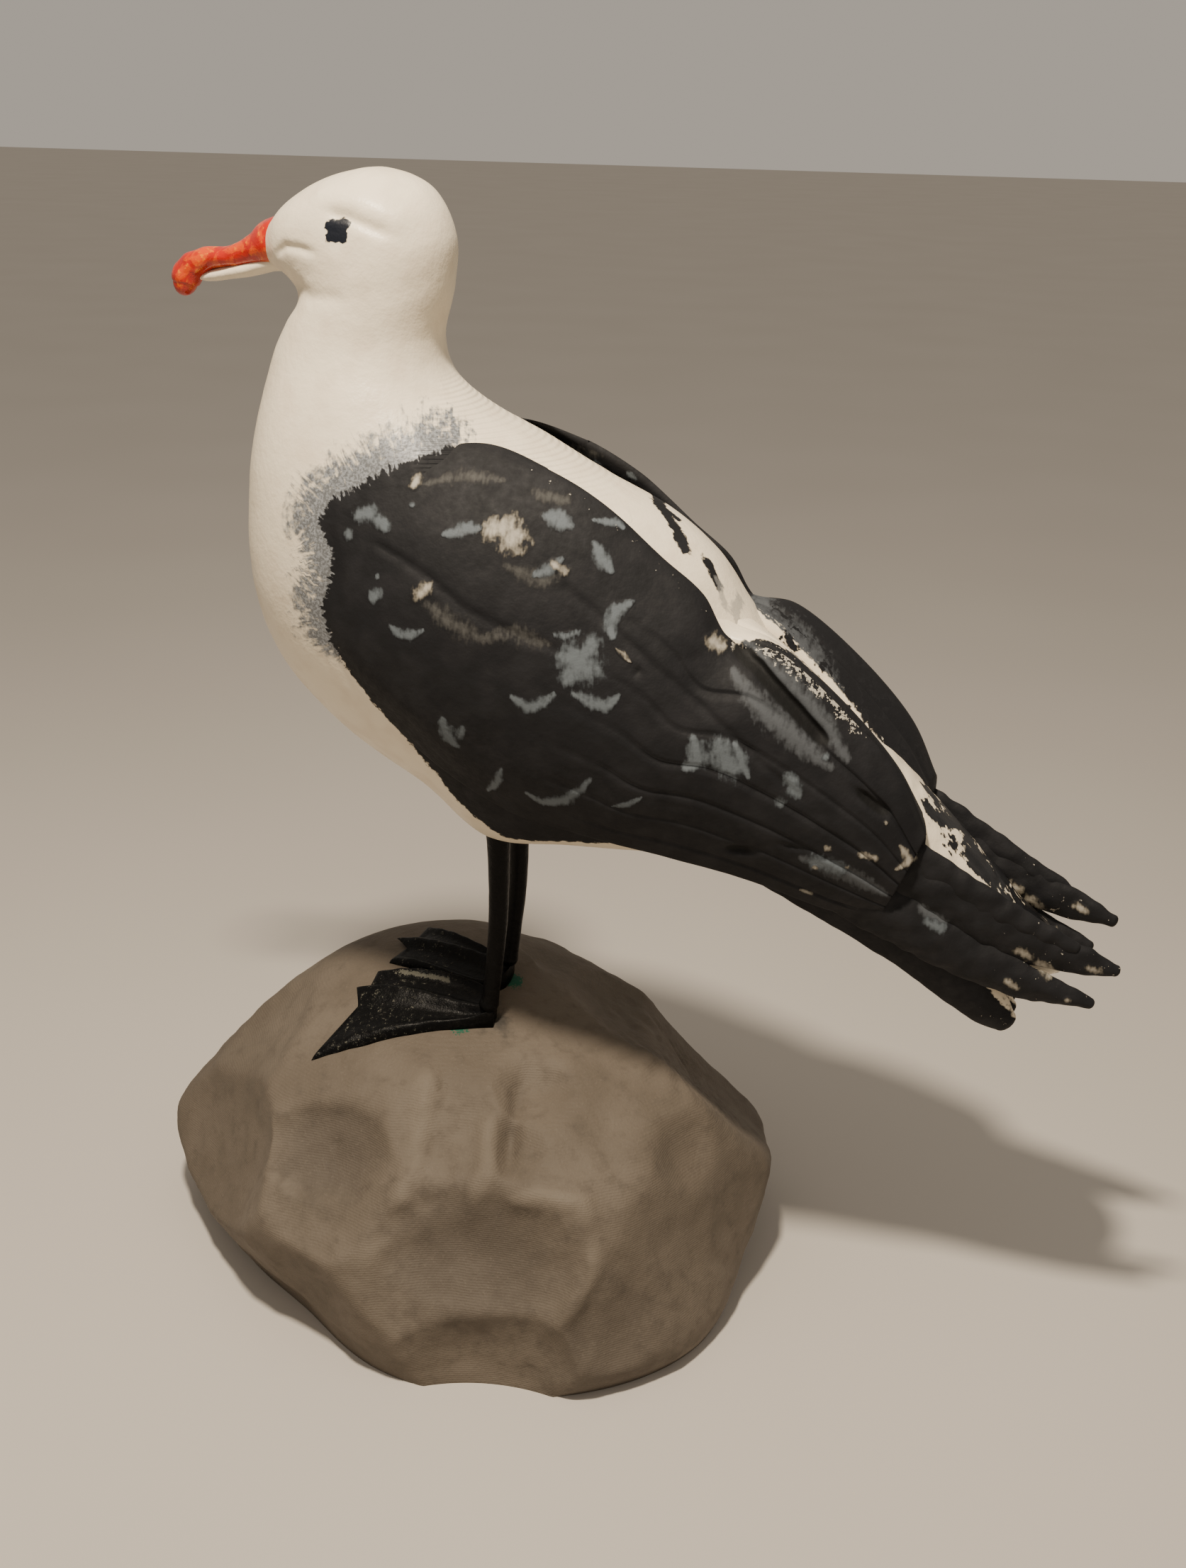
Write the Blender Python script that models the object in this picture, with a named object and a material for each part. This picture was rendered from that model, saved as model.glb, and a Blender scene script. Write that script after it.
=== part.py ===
"""A gull standing on a rock, a small hand-painted figure cast in two pieces.

Frame: metres, +Z up. The origin is the middle of the rock's flat underside.
The gull faces -X, its middle plane is the XZ plane, and its left side is -Y.
Tables of the gull hold percents of its length, heights counted from its soles.
Tables of the rock hold percents of the rock's width and of its height.
"""

import math

import bpy
import numpy as np
from mathutils import Vector
from mathutils.bvhtree import BVHTree

# Driving sizes, in metres
GULL_LENGTH = 0.1
ROCK_WIDTH = 0.069
ROCK_HEIGHT = 0.0315
LEG_DIAMETER = 0.0021
LEG_SPACING = 0.0074
TOE_LENGTH = 0.0178
FOOT_THICKNESS = 0.0011
WING_THICKNESS = 0.0027
TERTIAL_THICKNESS = 0.0022
TERTIAL_DEPTH = 0.0062
FLIGHT_FEATHER_THICKNESS = 0.0021
BODY_WIDTH = 0.0284
GAP = 0.0004

# How finely the figure is cast
VOXEL = 0.00042
GULL_FACES = 5500
ROCK_AROUND = 64

# Stations along the gull, from the root of the bill, over the head and down to the rump.
# Each has a back point (x, z), a front point (x, z) and a half width as a share of the widest.
BODY_STATIONS = (
    ((-20.6, 82.5), (-20.3, 78.5), 0.15),
    ((-17.8, 85.0), (-18.9, 77.9), 0.32),
    ((-13.8, 87.1), (-18.0, 77.2), 0.42),
    ((-8.8, 88.0), (-17.4, 76.4), 0.48),
    ((-4.2, 86.4), (-17.2, 75.6), 0.51),
    ((-1.9, 82.2), (-17.5, 74.8), 0.52),
    ((-2.1, 77.4), (-18.7, 73.2), 0.53),
    ((-3.2, 72.4), (-20.3, 69.8), 0.58),
    ((-2.2, 68.8), (-22.4, 61.8), 0.74),
    ((1.4, 66.0), (-23.2, 54.0), 0.87),
    ((7.0, 63.4), (-22.8, 45.8), 0.96),
    ((13.6, 60.0), (-19.6, 38.2), 1.00),
    ((20.2, 56.8), (-12.8, 31.4), 1.00),
    ((25.2, 53.0), (-5.0, 26.4), 0.97),
    ((28.6, 48.4), (2.2, 21.0), 0.91),
    ((33.0, 42.4), (10.8, 21.0), 0.79),
    ((38.6, 37.4), (21.0, 21.2), 0.64),
    ((45.0, 30.8), (32.0, 20.0), 0.49),
    ((50.0, 25.4), (41.0, 18.0), 0.37),
)

# Stations along a folded wing, from the shoulder back.
# Each has an upper edge (x, y, z), a lower edge (x, y, z), the bulge between them,
# and a thickness as a share of the wing's.
WING_STATIONS = (
    ((-10.4, 9.6, 58.0), (-12.8, 11.4, 52.8), 0.6, 0.40),
    ((-4.2, 8.2, 62.2), (-12.0, 12.4, 46.6), 2.6, 0.75),
    ((2.8, 7.6, 63.8), (-9.4, 12.6, 41.2), 4.4, 1.00),
    ((9.4, 7.6, 62.1), (-4.6, 12.4, 36.0), 5.0, 1.08),
    ((15.6, 7.6, 58.9), (0.8, 12.0, 31.4), 5.2, 1.08),
    ((21.4, 7.6, 54.2), (7.4, 11.4, 27.8), 5.0, 1.08),
    ((25.4, 7.7, 51.0), (12.8, 10.9, 26.3), 4.6, 1.08),
    ((28.3, 7.9, 46.8), (17.4, 10.4, 25.3), 4.2, 1.08),
    ((33.2, 8.0, 46.0), (23.3, 9.8, 24.2), 3.4, 1.00),
    ((39.5, 8.0, 41.0), (31.4, 9.0, 22.4), 2.6, 0.92),
    ((45.2, 8.0, 35.2), (39.3, 8.4, 20.0), 1.8, 0.83),
    ((48.4, 7.9, 29.0), (44.2, 7.9, 19.2), 1.0, 0.67),
)

# Stations along the innermost feathers of a wing, which slope from its ridge to the valley of the back
# and fill the hollow below them. Each has an inner edge (x, y, z) and an outer edge (x, y, z).
TERTIAL_STATIONS = (
    ((22.0, 1.0, 50.0), (22.0, 6.8, 50.4)),
    ((27.4, 0.8, 47.4), (27.6, 7.6, 46.4)),
    ((32.5, 0.7, 43.8), (32.7, 8.0, 45.8)),
    ((39.0, 0.6, 37.8), (39.3, 8.0, 41.0)),
    ((44.5, 0.6, 31.8), (45.2, 8.0, 34.8)),
    ((47.2, 0.8, 28.4), (48.4, 7.9, 28.6)),
)

# Tubes with an oval section: centre (x, y, z), half height, half thickness.
# The thickness of a flight feather is a share of its own named size.
UPPER_PRIMARIES = (
    ((36.0, 8.2, 32.8), 3.2, 1.2),
    ((45.0, 7.6, 25.8), 3.1, 1.2),
    ((52.0, 7.1, 21.6), 2.8, 1.1),
    ((58.5, 6.7, 18.6), 2.3, 1.0),
    ((64.0, 6.1, 17.0), 1.6, 0.8),
    ((67.8, 5.6, 16.0), 0.7, 0.5),
)
LOWER_PRIMARIES = (
    ((36.0, 9.2, 25.4), 3.0, 1.2),
    ((45.0, 8.0, 20.6), 2.9, 1.2),
    ((52.0, 7.3, 17.0), 2.6, 1.1),
    ((58.0, 7.0, 14.6), 2.1, 1.0),
    ((62.5, 6.7, 13.3), 1.4, 0.8),
    ((65.8, 6.4, 12.4), 0.6, 0.5),
)
TAIL_COVERTS = (
    ((34.0, 0.0, 34.0), 6.0, 8.6),
    ((41.0, 0.0, 28.6), 6.0, 8.4),
    ((48.0, 0.0, 23.4), 4.6, 7.8),
    ((54.0, 0.0, 19.2), 3.2, 7.0),
    ((58.0, 0.0, 16.6), 1.8, 6.2),
)
TAIL = (
    ((34.0, 0.0, 23.4), 4.5, 6.5),
    ((42.0, 0.0, 19.4), 4.2, 6.2),
    ((48.0, 0.0, 15.8), 3.6, 5.8),
    ((53.0, 0.0, 12.0), 2.9, 4.6),
    ((56.0, 0.0, 9.2), 2.3, 3.6),
    ((57.4, 0.0, 8.0), 1.5, 2.8),
)
BILL = (
    ((-18.4, 0.0, 80.6), 2.4, 2.4),
    ((-20.4, 0.0, 80.2), 2.0, 2.1),
    ((-22.8, 0.0, 79.2), 1.6, 1.8),
    ((-25.6, 0.0, 78.6), 1.55, 1.6),
    ((-28.2, 0.0, 78.3), 1.7, 1.5),
    ((-29.9, 0.0, 77.3), 1.6, 1.45),
    ((-30.4, 0.0, 76.5), 1.25, 1.2),
)

# Leg, from inside the belly to the heel: (x, z) and its thickness as a share of the leg's.
LEG_STATIONS = (
    ((3.6, 25.0), 1.45),
    ((3.8, 19.4), 1.14),
    ((3.7, 12.4), 1.00),
    ((3.2, 6.4), 0.90),
    ((2.8, 3.2), 0.93),
    ((2.6, 2.2), 1.05),
)
HEEL_X = 2.6

# Toes of a foot, from the inner to the outer: degrees outwards from straight ahead,
# and a length as a share of the toe's. The webs bulge towards each other between the feet.
FOOT_TOES = {
    "left": ((-17, 0.88), (-5, 0.92), (24, 1.11)),
    "right": ((-4, 0.80), (13, 0.86), (31, 0.82)),
}
WEB_SCALLOP = 0.15
INNER_WEB = 2.6

# Rock: height, centre (x, y), and the radius at azimuths 0, 30 ... 330 degrees.
ROCK_RINGS = (
    (0.00, (0.0, 0.0), (45.0, 46.0, 42.0, 38.0, 39.0, 43.0, 47.5, 40.5, 37.0, 42.8, 47.4, 49.6)),
    (0.07, (0.0, 0.0), (46.5, 47.5, 44.0, 40.0, 41.0, 45.0, 50.5, 42.5, 38.0, 43.8, 49.2, 51.0)),
    (0.19, (0.0, 0.0), (48.5, 49.0, 45.0, 41.0, 42.0, 46.5, 53.0, 45.6, 41.2, 45.0, 49.8, 50.6)),
    (0.41, (0.0, 0.0), (50.0, 49.5, 44.0, 41.0, 42.0, 47.5, 53.0, 48.5, 43.5, 43.0, 46.0, 48.5)),
    (0.63, (0.0, 0.0), (46.5, 44.0, 38.0, 36.0, 37.0, 41.0, 44.0, 41.5, 36.5, 34.0, 36.5, 42.0)),
    (0.82, (-3.0, 4.0), (33.0, 28.0, 27.0, 28.0, 29.0, 31.0, 32.0, 29.0, 25.0, 23.0, 24.5, 28.5)),
    (0.93, (-6.0, 8.0), (17.0, 13.5, 15.5, 18.0, 19.0, 20.0, 20.5, 17.5, 14.0, 12.0, 12.5, 15.0)),
)
ROCK_TOP = (-2.0, 15.0, 1.00)

# Cuts that flatten the rock: azimuth and elevation of the cut's normal in degrees,
# its distance from the rock's middle, and how much of what stands proud it takes away.
ROCK_CUTS = (
    (222, 26, 39.0, 0.7),
    (300, 30, 39.5, 0.7),
    (335, 24, 41.5, 0.7),
    (200, 40, 39.0, 0.6),
    (25, 42, 34.5, 0.7),
    (60, 20, 38.5, 0.7),
    (105, 25, 37.5, 0.7),
    (150, 20, 41.5, 0.7),
)
CUT_CENTRE_HEIGHT = 0.38

# Hollows scooped out of the rock by a ball: the deepest place (x, y, z), azimuth and elevation
# of the way in, in degrees, the depth, and the ball's radius.
ROCK_HOLLOWS = (
    ((-13.3, -32.2, 28.4), (258, 43), 2.9, 52.0),
    ((12.5, -42.0, 18.1), (275, 34), 4.8, 75.0),
    ((14.8, -15.2, 36.5), (287, 66), 1.5, 11.0),
    ((12.8, -25.4, 32.6), (287, 58), 1.5, 11.0),
    ((4.2, -26.5, 32.6), (274, 59), 1.2, 40.0),
    ((-38.4, -20.9, 17.7), (222, 26), 2.2, 75.0),
    ((12.6, -44.2, 3.6), (286, 9), 4.2, 26.0),
    ((35.8, -35.8, 9.3), (306, 23), 1.8, 60.0),
    ((38.0, -13.6, 29.3), (332, 35), 1.5, 15.0),
    ((-34.3, -9.6, 33.9), (205, 51), 1.6, 95.0),
    ((22.0, 11.0, 39.0), (28, 62), 2.6, 55.0),
    ((36.8, 13.4, 26.1), (26, 44), 1.6, 95.0),
    ((28.8, 34.3, 8.7), (60, 15), 1.7, 80.0),
    ((18.3, 34.4, 23.2), (63, 23), 2.8, 120.0),
    ((-3.0, 34.3, 31.9), (96, 26), 1.0, 45.0),
    ((-15.6, 38.7, 15.9), (105, 5), 2.4, 90.0),
    ((-34.9, 20.1, 27.5), (148, 23), 2.6, 110.0),
    ((-49.5, 7.0, 11.6), (152, 14), 1.6, 60.0),
)

COLOURS = {
    "gull_white": ((0.80, 0.76, 0.68), 0.45),
    "rock_taupe": ((0.19, 0.155, 0.12), 0.85),
}


def spline(rows, steps):
    """Points along a smooth curve through the rows, with this many steps between two rows."""
    given = np.array(rows, float)
    ends = (2 * given[0] - given[1], 2 * given[-1] - given[-2])
    held = np.vstack([ends[0], given, ends[1]])
    t = (np.arange(steps) / steps)[:, None]
    spans = []
    for a, b, c, d in zip(held, held[1:], held[2:], held[3:]):
        cubic = 3 * b - a - 3 * c + d
        square = 2 * a - 5 * b + 4 * c - d
        spans.append(0.5 * (2 * b + (c - a) * t + square * t**2 + cubic * t**3))
    return np.vstack([*spans, given[-1][None]])


def oval(count, power=2.0):
    """Up and side shares of a closed superellipse, starting at the top."""
    turn = np.arange(count) * 2 * math.pi / count
    up, side = np.cos(turn), np.sin(turn)
    return (
        np.sign(up) * np.abs(up) ** (2 / power),
        np.sign(side) * np.abs(side) ** (2 / power),
    )


def skin(rings):
    """Vertices and faces of a closed body through rings of equal count, capped at both ends."""
    rows, count = len(rings), len(rings[0])
    points = np.vstack([*rings, rings[0].mean(axis=0), rings[-1].mean(axis=0)])
    first_cap, last_cap = rows * count, rows * count + 1
    faces = []
    for j in range(count):
        k = (j + 1) % count
        for i in range(rows - 1):
            here, there = i * count, (i + 1) * count
            faces.append((here + j, here + k, there + k, there + j))
        faces.append((first_cap, k, j))
        faces.append((last_cap, (rows - 1) * count + j, (rows - 1) * count + k))
    return points, faces


def end_steps(count):
    """Scale and push of the rings that round off an end, from the tip inwards."""
    for step in range(count):
        turn = math.pi / 2 * (step + 0.35) / count
        yield math.sin(turn), math.cos(turn)


def gull_point(share):
    """A place on the gull in metres, above its soles, from percents of its length."""
    return np.asarray(share, float) * (GULL_LENGTH / 100)


def body():
    """Head, neck, breast, belly and rump as one loft of oval sections."""
    power, around, rounding = 2.15, 44, 4
    nose, rump = gull_point(1.2), gull_point(3.0)
    rows = spline([(*back, *front, width) for back, front, width in BODY_STATIONS], 4)

    def section(row, scale=1.0, push=0.0):
        back = gull_point((row[0], 0, row[1]))
        front = gull_point((row[2], 0, row[3]))
        half = (back - front) / 2
        along = np.array([half[2], 0, -half[0]]) / np.linalg.norm(half)
        up, side = oval(around, power)
        middle = (back + front) / 2 + along * push
        widest = row[4] * BODY_WIDTH / 2
        return middle + np.outer(up * scale, half) + np.outer(side * scale * widest, [0, -1, 0])

    rings = [section(rows[0], scale, -nose * push) for scale, push in end_steps(rounding)]
    rings += [section(row) for row in rows]
    rings += [section(rows[-1], scale, rump * push) for scale, push in end_steps(rounding)][::-1]
    return skin(rings)


def tube(stations, thickness=None, per=4, around=14):
    """An oval tube through stations of (centre, half height, half thickness), with round ends."""
    widest = max(station[2] for station in stations)
    rows = []
    for centre, high, thick in stations:
        thick = gull_point(thick) if thickness is None else thickness / 2 * thick / widest
        rows.append((*gull_point(centre), gull_point(high), thick))
    rows = spline(rows, per)
    path = rows[:, :3]
    ahead = np.gradient(path, axis=0)
    ahead /= np.linalg.norm(ahead, axis=1)[:, None]
    up_share, side_share = oval(around)

    def section(i, scale=1.0, push=0.0):
        across = np.array([0.0, 1.0, 0.0])
        up = np.cross(ahead[i], across)
        up /= np.linalg.norm(up)
        across = np.cross(up, ahead[i])
        middle = path[i] + ahead[i] * push
        high, thick = rows[i, 3] * scale, rows[i, 4] * scale
        return middle + np.outer(up_share * high, up) + np.outer(side_share * thick, across)

    last = len(rows) - 1
    rings = [section(0, scale, -rows[0, 4] * push) for scale, push in end_steps(3)]
    rings += [section(i) for i in range(len(rows))]
    rings += [section(last, scale, rows[-1, 4] * push) for scale, push in end_steps(3)][::-1]
    return skin(rings)


def mirrored(stations, side):
    return [((c[0], side * c[1], c[2]), high, thick) for c, high, thick in stations]


def wing(side, per=4, across=16):
    """A folded wing: a curved plate with rounded edges along the gull's flank."""
    rows = spline([(*top, *low, bulge, thick) for top, low, bulge, thick in WING_STATIONS], per)
    share = np.linspace(0, 1, across)
    outward = np.array([0.0, side, 0.0])
    crown = 4 * share * (1 - share)
    edge = np.sqrt(np.clip(1 - (2 * share - 1) ** 4, 0, 1))
    rings = []
    for row in rows:
        top = gull_point((row[0], side * row[1], row[2]))
        low = gull_point((row[3], side * row[4], row[5]))
        chord = top + np.outer(share, low - top)
        bulge = crown * gull_point(row[6])
        half = edge * row[7] * WING_THICKNESS / 2
        outer = chord + np.outer(bulge + half, outward)
        inner = chord + np.outer(bulge - half, outward)
        rings.append(np.vstack([outer, inner[::-1][1:-1]]))
    return skin(rings)


def tertials(side, across=9):
    """The innermost feathers of a folded wing, a plate that leans towards the middle of the back."""
    rows = spline([(*inner, *outer) for inner, outer in TERTIAL_STATIONS], 4)
    share = np.linspace(0, 1, across)[:, None]
    edge = np.sqrt(np.clip(1 - (2 * share - 1) ** 4, 0, 1))
    flip = np.array([1.0, side, 1.0])
    rings = []
    for row in rows:
        inner, outer = gull_point(row[:3]) * flip, gull_point(row[3:]) * flip
        plate = inner + share * (outer - inner)
        above = edge * np.array([0, 0, TERTIAL_THICKNESS / 2])
        below = edge * np.array([0, 0, TERTIAL_DEPTH - TERTIAL_THICKNESS / 2])
        rings.append(np.vstack([plate + above, (plate - below)[::-1][1:-1]]))
    return skin(rings)


def leg(side, ground, soles):
    """A round leg that stands under the belly, down to the top of its own foot."""
    spread = side * LEG_SPACING / 2 / gull_point(1.0)
    thick = LEG_DIAMETER / 2 / gull_point(1.0)
    heel = ground(gull_point(HEEL_X), side * LEG_SPACING / 2) + GAP - soles
    knee = LEG_STATIONS[0][0][1]
    rows = []
    for (x, z), share in LEG_STATIONS:
        drop = heel / gull_point(1.0) * (1 - z / knee)
        rows.append(((x, spread, z + drop), share * thick, share * thick))
    return tube(rows, around=12)


def foot(side, toes, ground, soles):
    """A webbed foot laid on the rock: three toes with the web scalloped between them."""
    heel = np.array([gull_point(HEEL_X), side * LEG_SPACING / 2])
    rings = []
    fan = np.linspace(-1, 1, 17)
    outwards, share = (np.interp(fan, (-1, 0, 1), row) for row in zip(*toes))
    angle = math.pi - side * np.radians(outwards)
    for reach in np.linspace(0.0, 1.0, 9):
        web = 1 - WEB_SCALLOP * np.abs(np.sin(fan * math.pi)) * reach**3
        length = TOE_LENGTH * share * (reach * 1.04 - 0.04) * web
        half_heel = fan * LEG_DIAMETER * 0.5 * (1 - reach)
        x = heel[0] + length * np.cos(angle)
        webbed = gull_point(INNER_WEB) * np.clip(-fan, 0, 1) * math.sin(math.pi * math.sqrt(reach))
        y = heel[1] + length * np.sin(angle) + side * (half_heel - webbed)
        floor = np.array([ground(a, b) for a, b in zip(x, y)]) + GAP - soles
        toe = np.cos(fan * math.pi * 2) * 0.5 + 0.5
        rim = np.sqrt(np.clip(1 - fan**8, 0.15, 1)) * (1 - 0.45 * reach**4)
        thick = FOOT_THICKNESS * (0.75 + 0.45 * toe) * rim
        top = np.stack([x, y, floor + thick], axis=1)
        sole = np.stack([x, y, floor], axis=1)
        rings.append(np.vstack([top, sole[::-1]]))
    if side > 0:
        rings = [ring[::-1] for ring in rings]
    return skin(rings)


def new_object(name, parts, colour):
    """One mesh object from closed bodies given as (points, faces), normals turned outwards."""
    points, faces, start = [], [], 0
    for body_points, body_faces in parts:
        points.append(body_points)
        faces += [tuple(i + start for i in face) for face in body_faces]
        start += len(body_points)
    mesh = bpy.data.meshes.new(name)
    mesh.from_pydata(np.vstack(points).tolist(), [], faces)
    mesh.validate()
    made = bpy.data.objects.new(name, mesh)
    bpy.context.scene.collection.objects.link(made)
    bpy.context.view_layer.objects.active = made
    made.select_set(True)
    bpy.ops.object.mode_set(mode="EDIT")
    bpy.ops.mesh.select_all(action="SELECT")
    bpy.ops.mesh.normals_make_consistent(inside=False)
    bpy.ops.object.mode_set(mode="OBJECT")
    made.select_set(False)
    (red, green, blue), roughness = COLOURS[colour]
    material = bpy.data.materials.new(colour)
    material.use_nodes = True
    shader = material.node_tree.nodes["Principled BSDF"]
    shader.inputs["Base Color"].default_value = (red, green, blue, 1)
    shader.inputs["Roughness"].default_value = roughness
    shader.inputs["Metallic"].default_value = 0
    mesh.materials.append(material)
    mesh.shade_smooth()
    return made


def rock_ring(radii, around):
    """Radii at evenly spread azimuths, from the twelve given ones."""
    given = np.array(radii, float)
    held = np.concatenate([given[-1:], given, given[:2]])
    steps = np.arange(around) * len(given) / around
    at = steps.astype(int)
    t = steps - at
    a, b, c, d = (held[at + i] for i in range(4))
    cubic = 3 * b - a - 3 * c + d
    square = 2 * a - 5 * b + 4 * c - d
    return 0.5 * (2 * b + (c - a) * t + square * t**2 + cubic * t**3)


def heading(azimuth, elevation):
    """The unit vector that points this way, from degrees."""
    az, el = math.radians(azimuth), math.radians(elevation)
    return np.array([math.cos(az) * math.cos(el), math.sin(az) * math.cos(el), math.sin(el)])


def carve(points):
    """Takes down what stands proud of each cut, then scoops the hollows. The underside stays flat."""

    def take(taken):
        taken[:, 2] *= np.clip(points[:, 2] / (0.15 * ROCK_HEIGHT), 0, 1)
        return points - taken

    middle = np.array([0, 0, CUT_CENTRE_HEIGHT * ROCK_HEIGHT])
    for azimuth, elevation, distance, share in ROCK_CUTS:
        normal = heading(azimuth, elevation)
        proud = (points - middle) @ normal - distance / 100 * ROCK_WIDTH
        points = take(np.outer(np.clip(proud, 0, None) * share, normal))
    for place, way, depth, ball in ROCK_HOLLOWS:
        centre = (np.array(place) + heading(*way) * (ball - depth)) / 100 * ROCK_WIDTH
        spread = points - centre
        away = np.linalg.norm(spread, axis=1)
        within = np.clip(ball / 100 * ROCK_WIDTH - away, 0, None)
        points = take(-spread * (within / away)[:, None])
    return points


def rock():
    """The boulder that the gull stands on, with a flat underside."""
    azimuth = np.arange(ROCK_AROUND) * 2 * math.pi / ROCK_AROUND
    around = np.stack([np.cos(azimuth), np.sin(azimuth)], axis=1)
    rings = []
    for height, centre, radii in ROCK_RINGS:
        radius = rock_ring(radii, ROCK_AROUND)[:, None] / 100 * ROCK_WIDTH
        flat = np.array(centre) / 100 * ROCK_WIDTH + radius * around
        level = np.full((ROCK_AROUND, 1), height * ROCK_HEIGHT)
        rings.append(np.hstack([flat, level]))
    top = np.array([ROCK_TOP[0], ROCK_TOP[1], 0]) / 100 * ROCK_WIDTH
    top[2] = ROCK_TOP[2] * ROCK_HEIGHT
    last = rings[-1]
    for inward, sink in ((0.62, 0.30), (0.25, 0.04)):
        rings.append(top + (last - top) * np.array([inward, inward, sink]))
    smooth = spline(np.array(rings).reshape(len(rings), -1), 4)
    rings = [carve(ring) for ring in smooth.reshape(-1, ROCK_AROUND, 3)]
    return new_object("rock", [skin(rings)], "rock_taupe")


def height_finder(solid):
    """A function that gives the height of a solid's upper surface at (x, y)."""
    bpy.context.view_layer.update()
    tree = BVHTree.FromObject(solid, bpy.context.evaluated_depsgraph_get())
    above = 10 * ROCK_HEIGHT

    def ground(x, y):
        hit = tree.ray_cast(Vector((x, y, above)), Vector((0, 0, -1)))[0]
        return hit.z if hit else 0.0

    return ground


def gull(ground):
    """The bird in one piece: body, bill, folded wings, tail, legs and webbed feet."""
    soles = ground(gull_point(HEEL_X), 0.0) + GAP
    parts = [body(), tube(BILL), tube(TAIL_COVERTS), tube(TAIL)]
    for side, name in ((-1, "left"), (1, "right")):
        parts += [wing(side), tertials(side)]
        for feathers in (UPPER_PRIMARIES, LOWER_PRIMARIES):
            parts.append(tube(mirrored(feathers, side), FLIGHT_FEATHER_THICKNESS))
        parts.append(leg(side, ground, soles))
        parts.append(foot(side, FOOT_TOES[name], ground, soles))
    made = new_object("gull", parts, "gull_white")
    made.location.z = soles
    fused = made.modifiers.new("fused", "REMESH")
    fused.mode = "VOXEL"
    fused.voxel_size = VOXEL
    eased = made.modifiers.new("eased", "SMOOTH")
    eased.factor = 0.5
    eased.iterations = 2
    faceted = made.modifiers.new("faceted", "DECIMATE")
    bpy.context.view_layer.update()
    faceted.show_viewport = faceted.show_render = False
    fine = made.evaluated_get(bpy.context.evaluated_depsgraph_get())
    count = sum(len(face.vertices) - 2 for face in fine.data.polygons)
    faceted.show_viewport = faceted.show_render = True
    faceted.ratio = min(1.0, GULL_FACES / count)
    return made


def main():
    for old in list(bpy.data.objects):
        bpy.data.objects.remove(old, do_unlink=True)
    stone = rock()
    gull(height_finder(stone))


main()
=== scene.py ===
"""The looks of a hand-painted gull figurine that stands on a painted rock.

Lengths in the tables of the gull are percents of its length, which are also millimetres here.
Heights in them count from its soles. The gull faces -X and its left side is -Y.
The rock's rings, cuts and hollows are percents of its width, and the heights of its rings are
shares of its height. Its other tables are millimetres in the part's frame.
"""

import math

import bpy
import numpy as np
from mathutils import Matrix, Vector, noise
from mathutils.bvhtree import BVHTree


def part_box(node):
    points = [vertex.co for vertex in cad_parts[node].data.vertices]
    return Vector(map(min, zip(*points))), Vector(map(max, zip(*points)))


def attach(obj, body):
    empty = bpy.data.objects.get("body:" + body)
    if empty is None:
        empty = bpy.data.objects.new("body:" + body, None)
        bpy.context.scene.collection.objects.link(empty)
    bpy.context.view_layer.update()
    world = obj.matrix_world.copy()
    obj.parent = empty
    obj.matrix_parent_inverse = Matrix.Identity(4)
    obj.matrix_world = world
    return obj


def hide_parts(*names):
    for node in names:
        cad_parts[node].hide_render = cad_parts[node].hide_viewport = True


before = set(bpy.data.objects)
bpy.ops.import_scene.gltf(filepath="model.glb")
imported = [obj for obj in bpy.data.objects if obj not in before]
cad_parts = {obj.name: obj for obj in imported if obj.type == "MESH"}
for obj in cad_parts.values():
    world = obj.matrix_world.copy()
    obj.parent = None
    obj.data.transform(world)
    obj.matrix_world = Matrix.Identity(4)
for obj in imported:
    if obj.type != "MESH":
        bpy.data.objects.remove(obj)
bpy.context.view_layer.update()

MM = 0.001
CROWN_HEIGHT = 88.0
_, gull_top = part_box("gull")
SOLES = gull_top[2] / MM - CROWN_HEIGHT
ROCK_WIDTH = 69.0
ROCK_HEIGHT = 31.5

BODY_WIDTH = 28.4
LEG_DIAMETER = 2.1
LEG_SPACING = 7.4
TOE_LENGTH = 17.8
FOOT_THICKNESS = 1.1
WING_THICKNESS = 2.7
TERTIAL_RISE = 1.1
TERTIAL_DEPTH = 5.1

# Stations along the gull, from the root of the bill, over the head and down to the rump.
# Each has a back point (x, z), a front point (x, z) and a half width as a share of the widest.
BODY_STATIONS = (
    ((-20.6, 82.5), (-20.3, 78.5), 0.15),
    ((-17.8, 85.0), (-18.9, 77.9), 0.32),
    ((-13.8, 87.1), (-18.0, 77.2), 0.42),
    ((-8.8, 88.0), (-17.4, 76.4), 0.48),
    ((-4.2, 86.4), (-17.2, 75.6), 0.51),
    ((-1.9, 82.2), (-17.5, 74.8), 0.52),
    ((-2.1, 77.4), (-18.7, 73.2), 0.53),
    ((-3.2, 72.4), (-20.3, 69.8), 0.58),
    ((-2.2, 68.8), (-22.4, 61.8), 0.74),
    ((1.4, 66.0), (-23.2, 54.0), 0.87),
    ((7.0, 63.4), (-22.8, 45.8), 0.96),
    ((13.6, 60.0), (-19.6, 38.2), 1.00),
    ((20.2, 56.8), (-12.8, 31.4), 1.00),
    ((25.2, 53.0), (-5.0, 26.4), 0.97),
    ((28.6, 48.4), (2.2, 21.0), 0.91),
    ((33.0, 42.4), (10.8, 21.0), 0.79),
    ((38.6, 37.4), (21.0, 21.2), 0.64),
    ((45.0, 30.8), (32.0, 20.0), 0.49),
    ((50.0, 25.4), (41.0, 18.0), 0.37),
)

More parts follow.
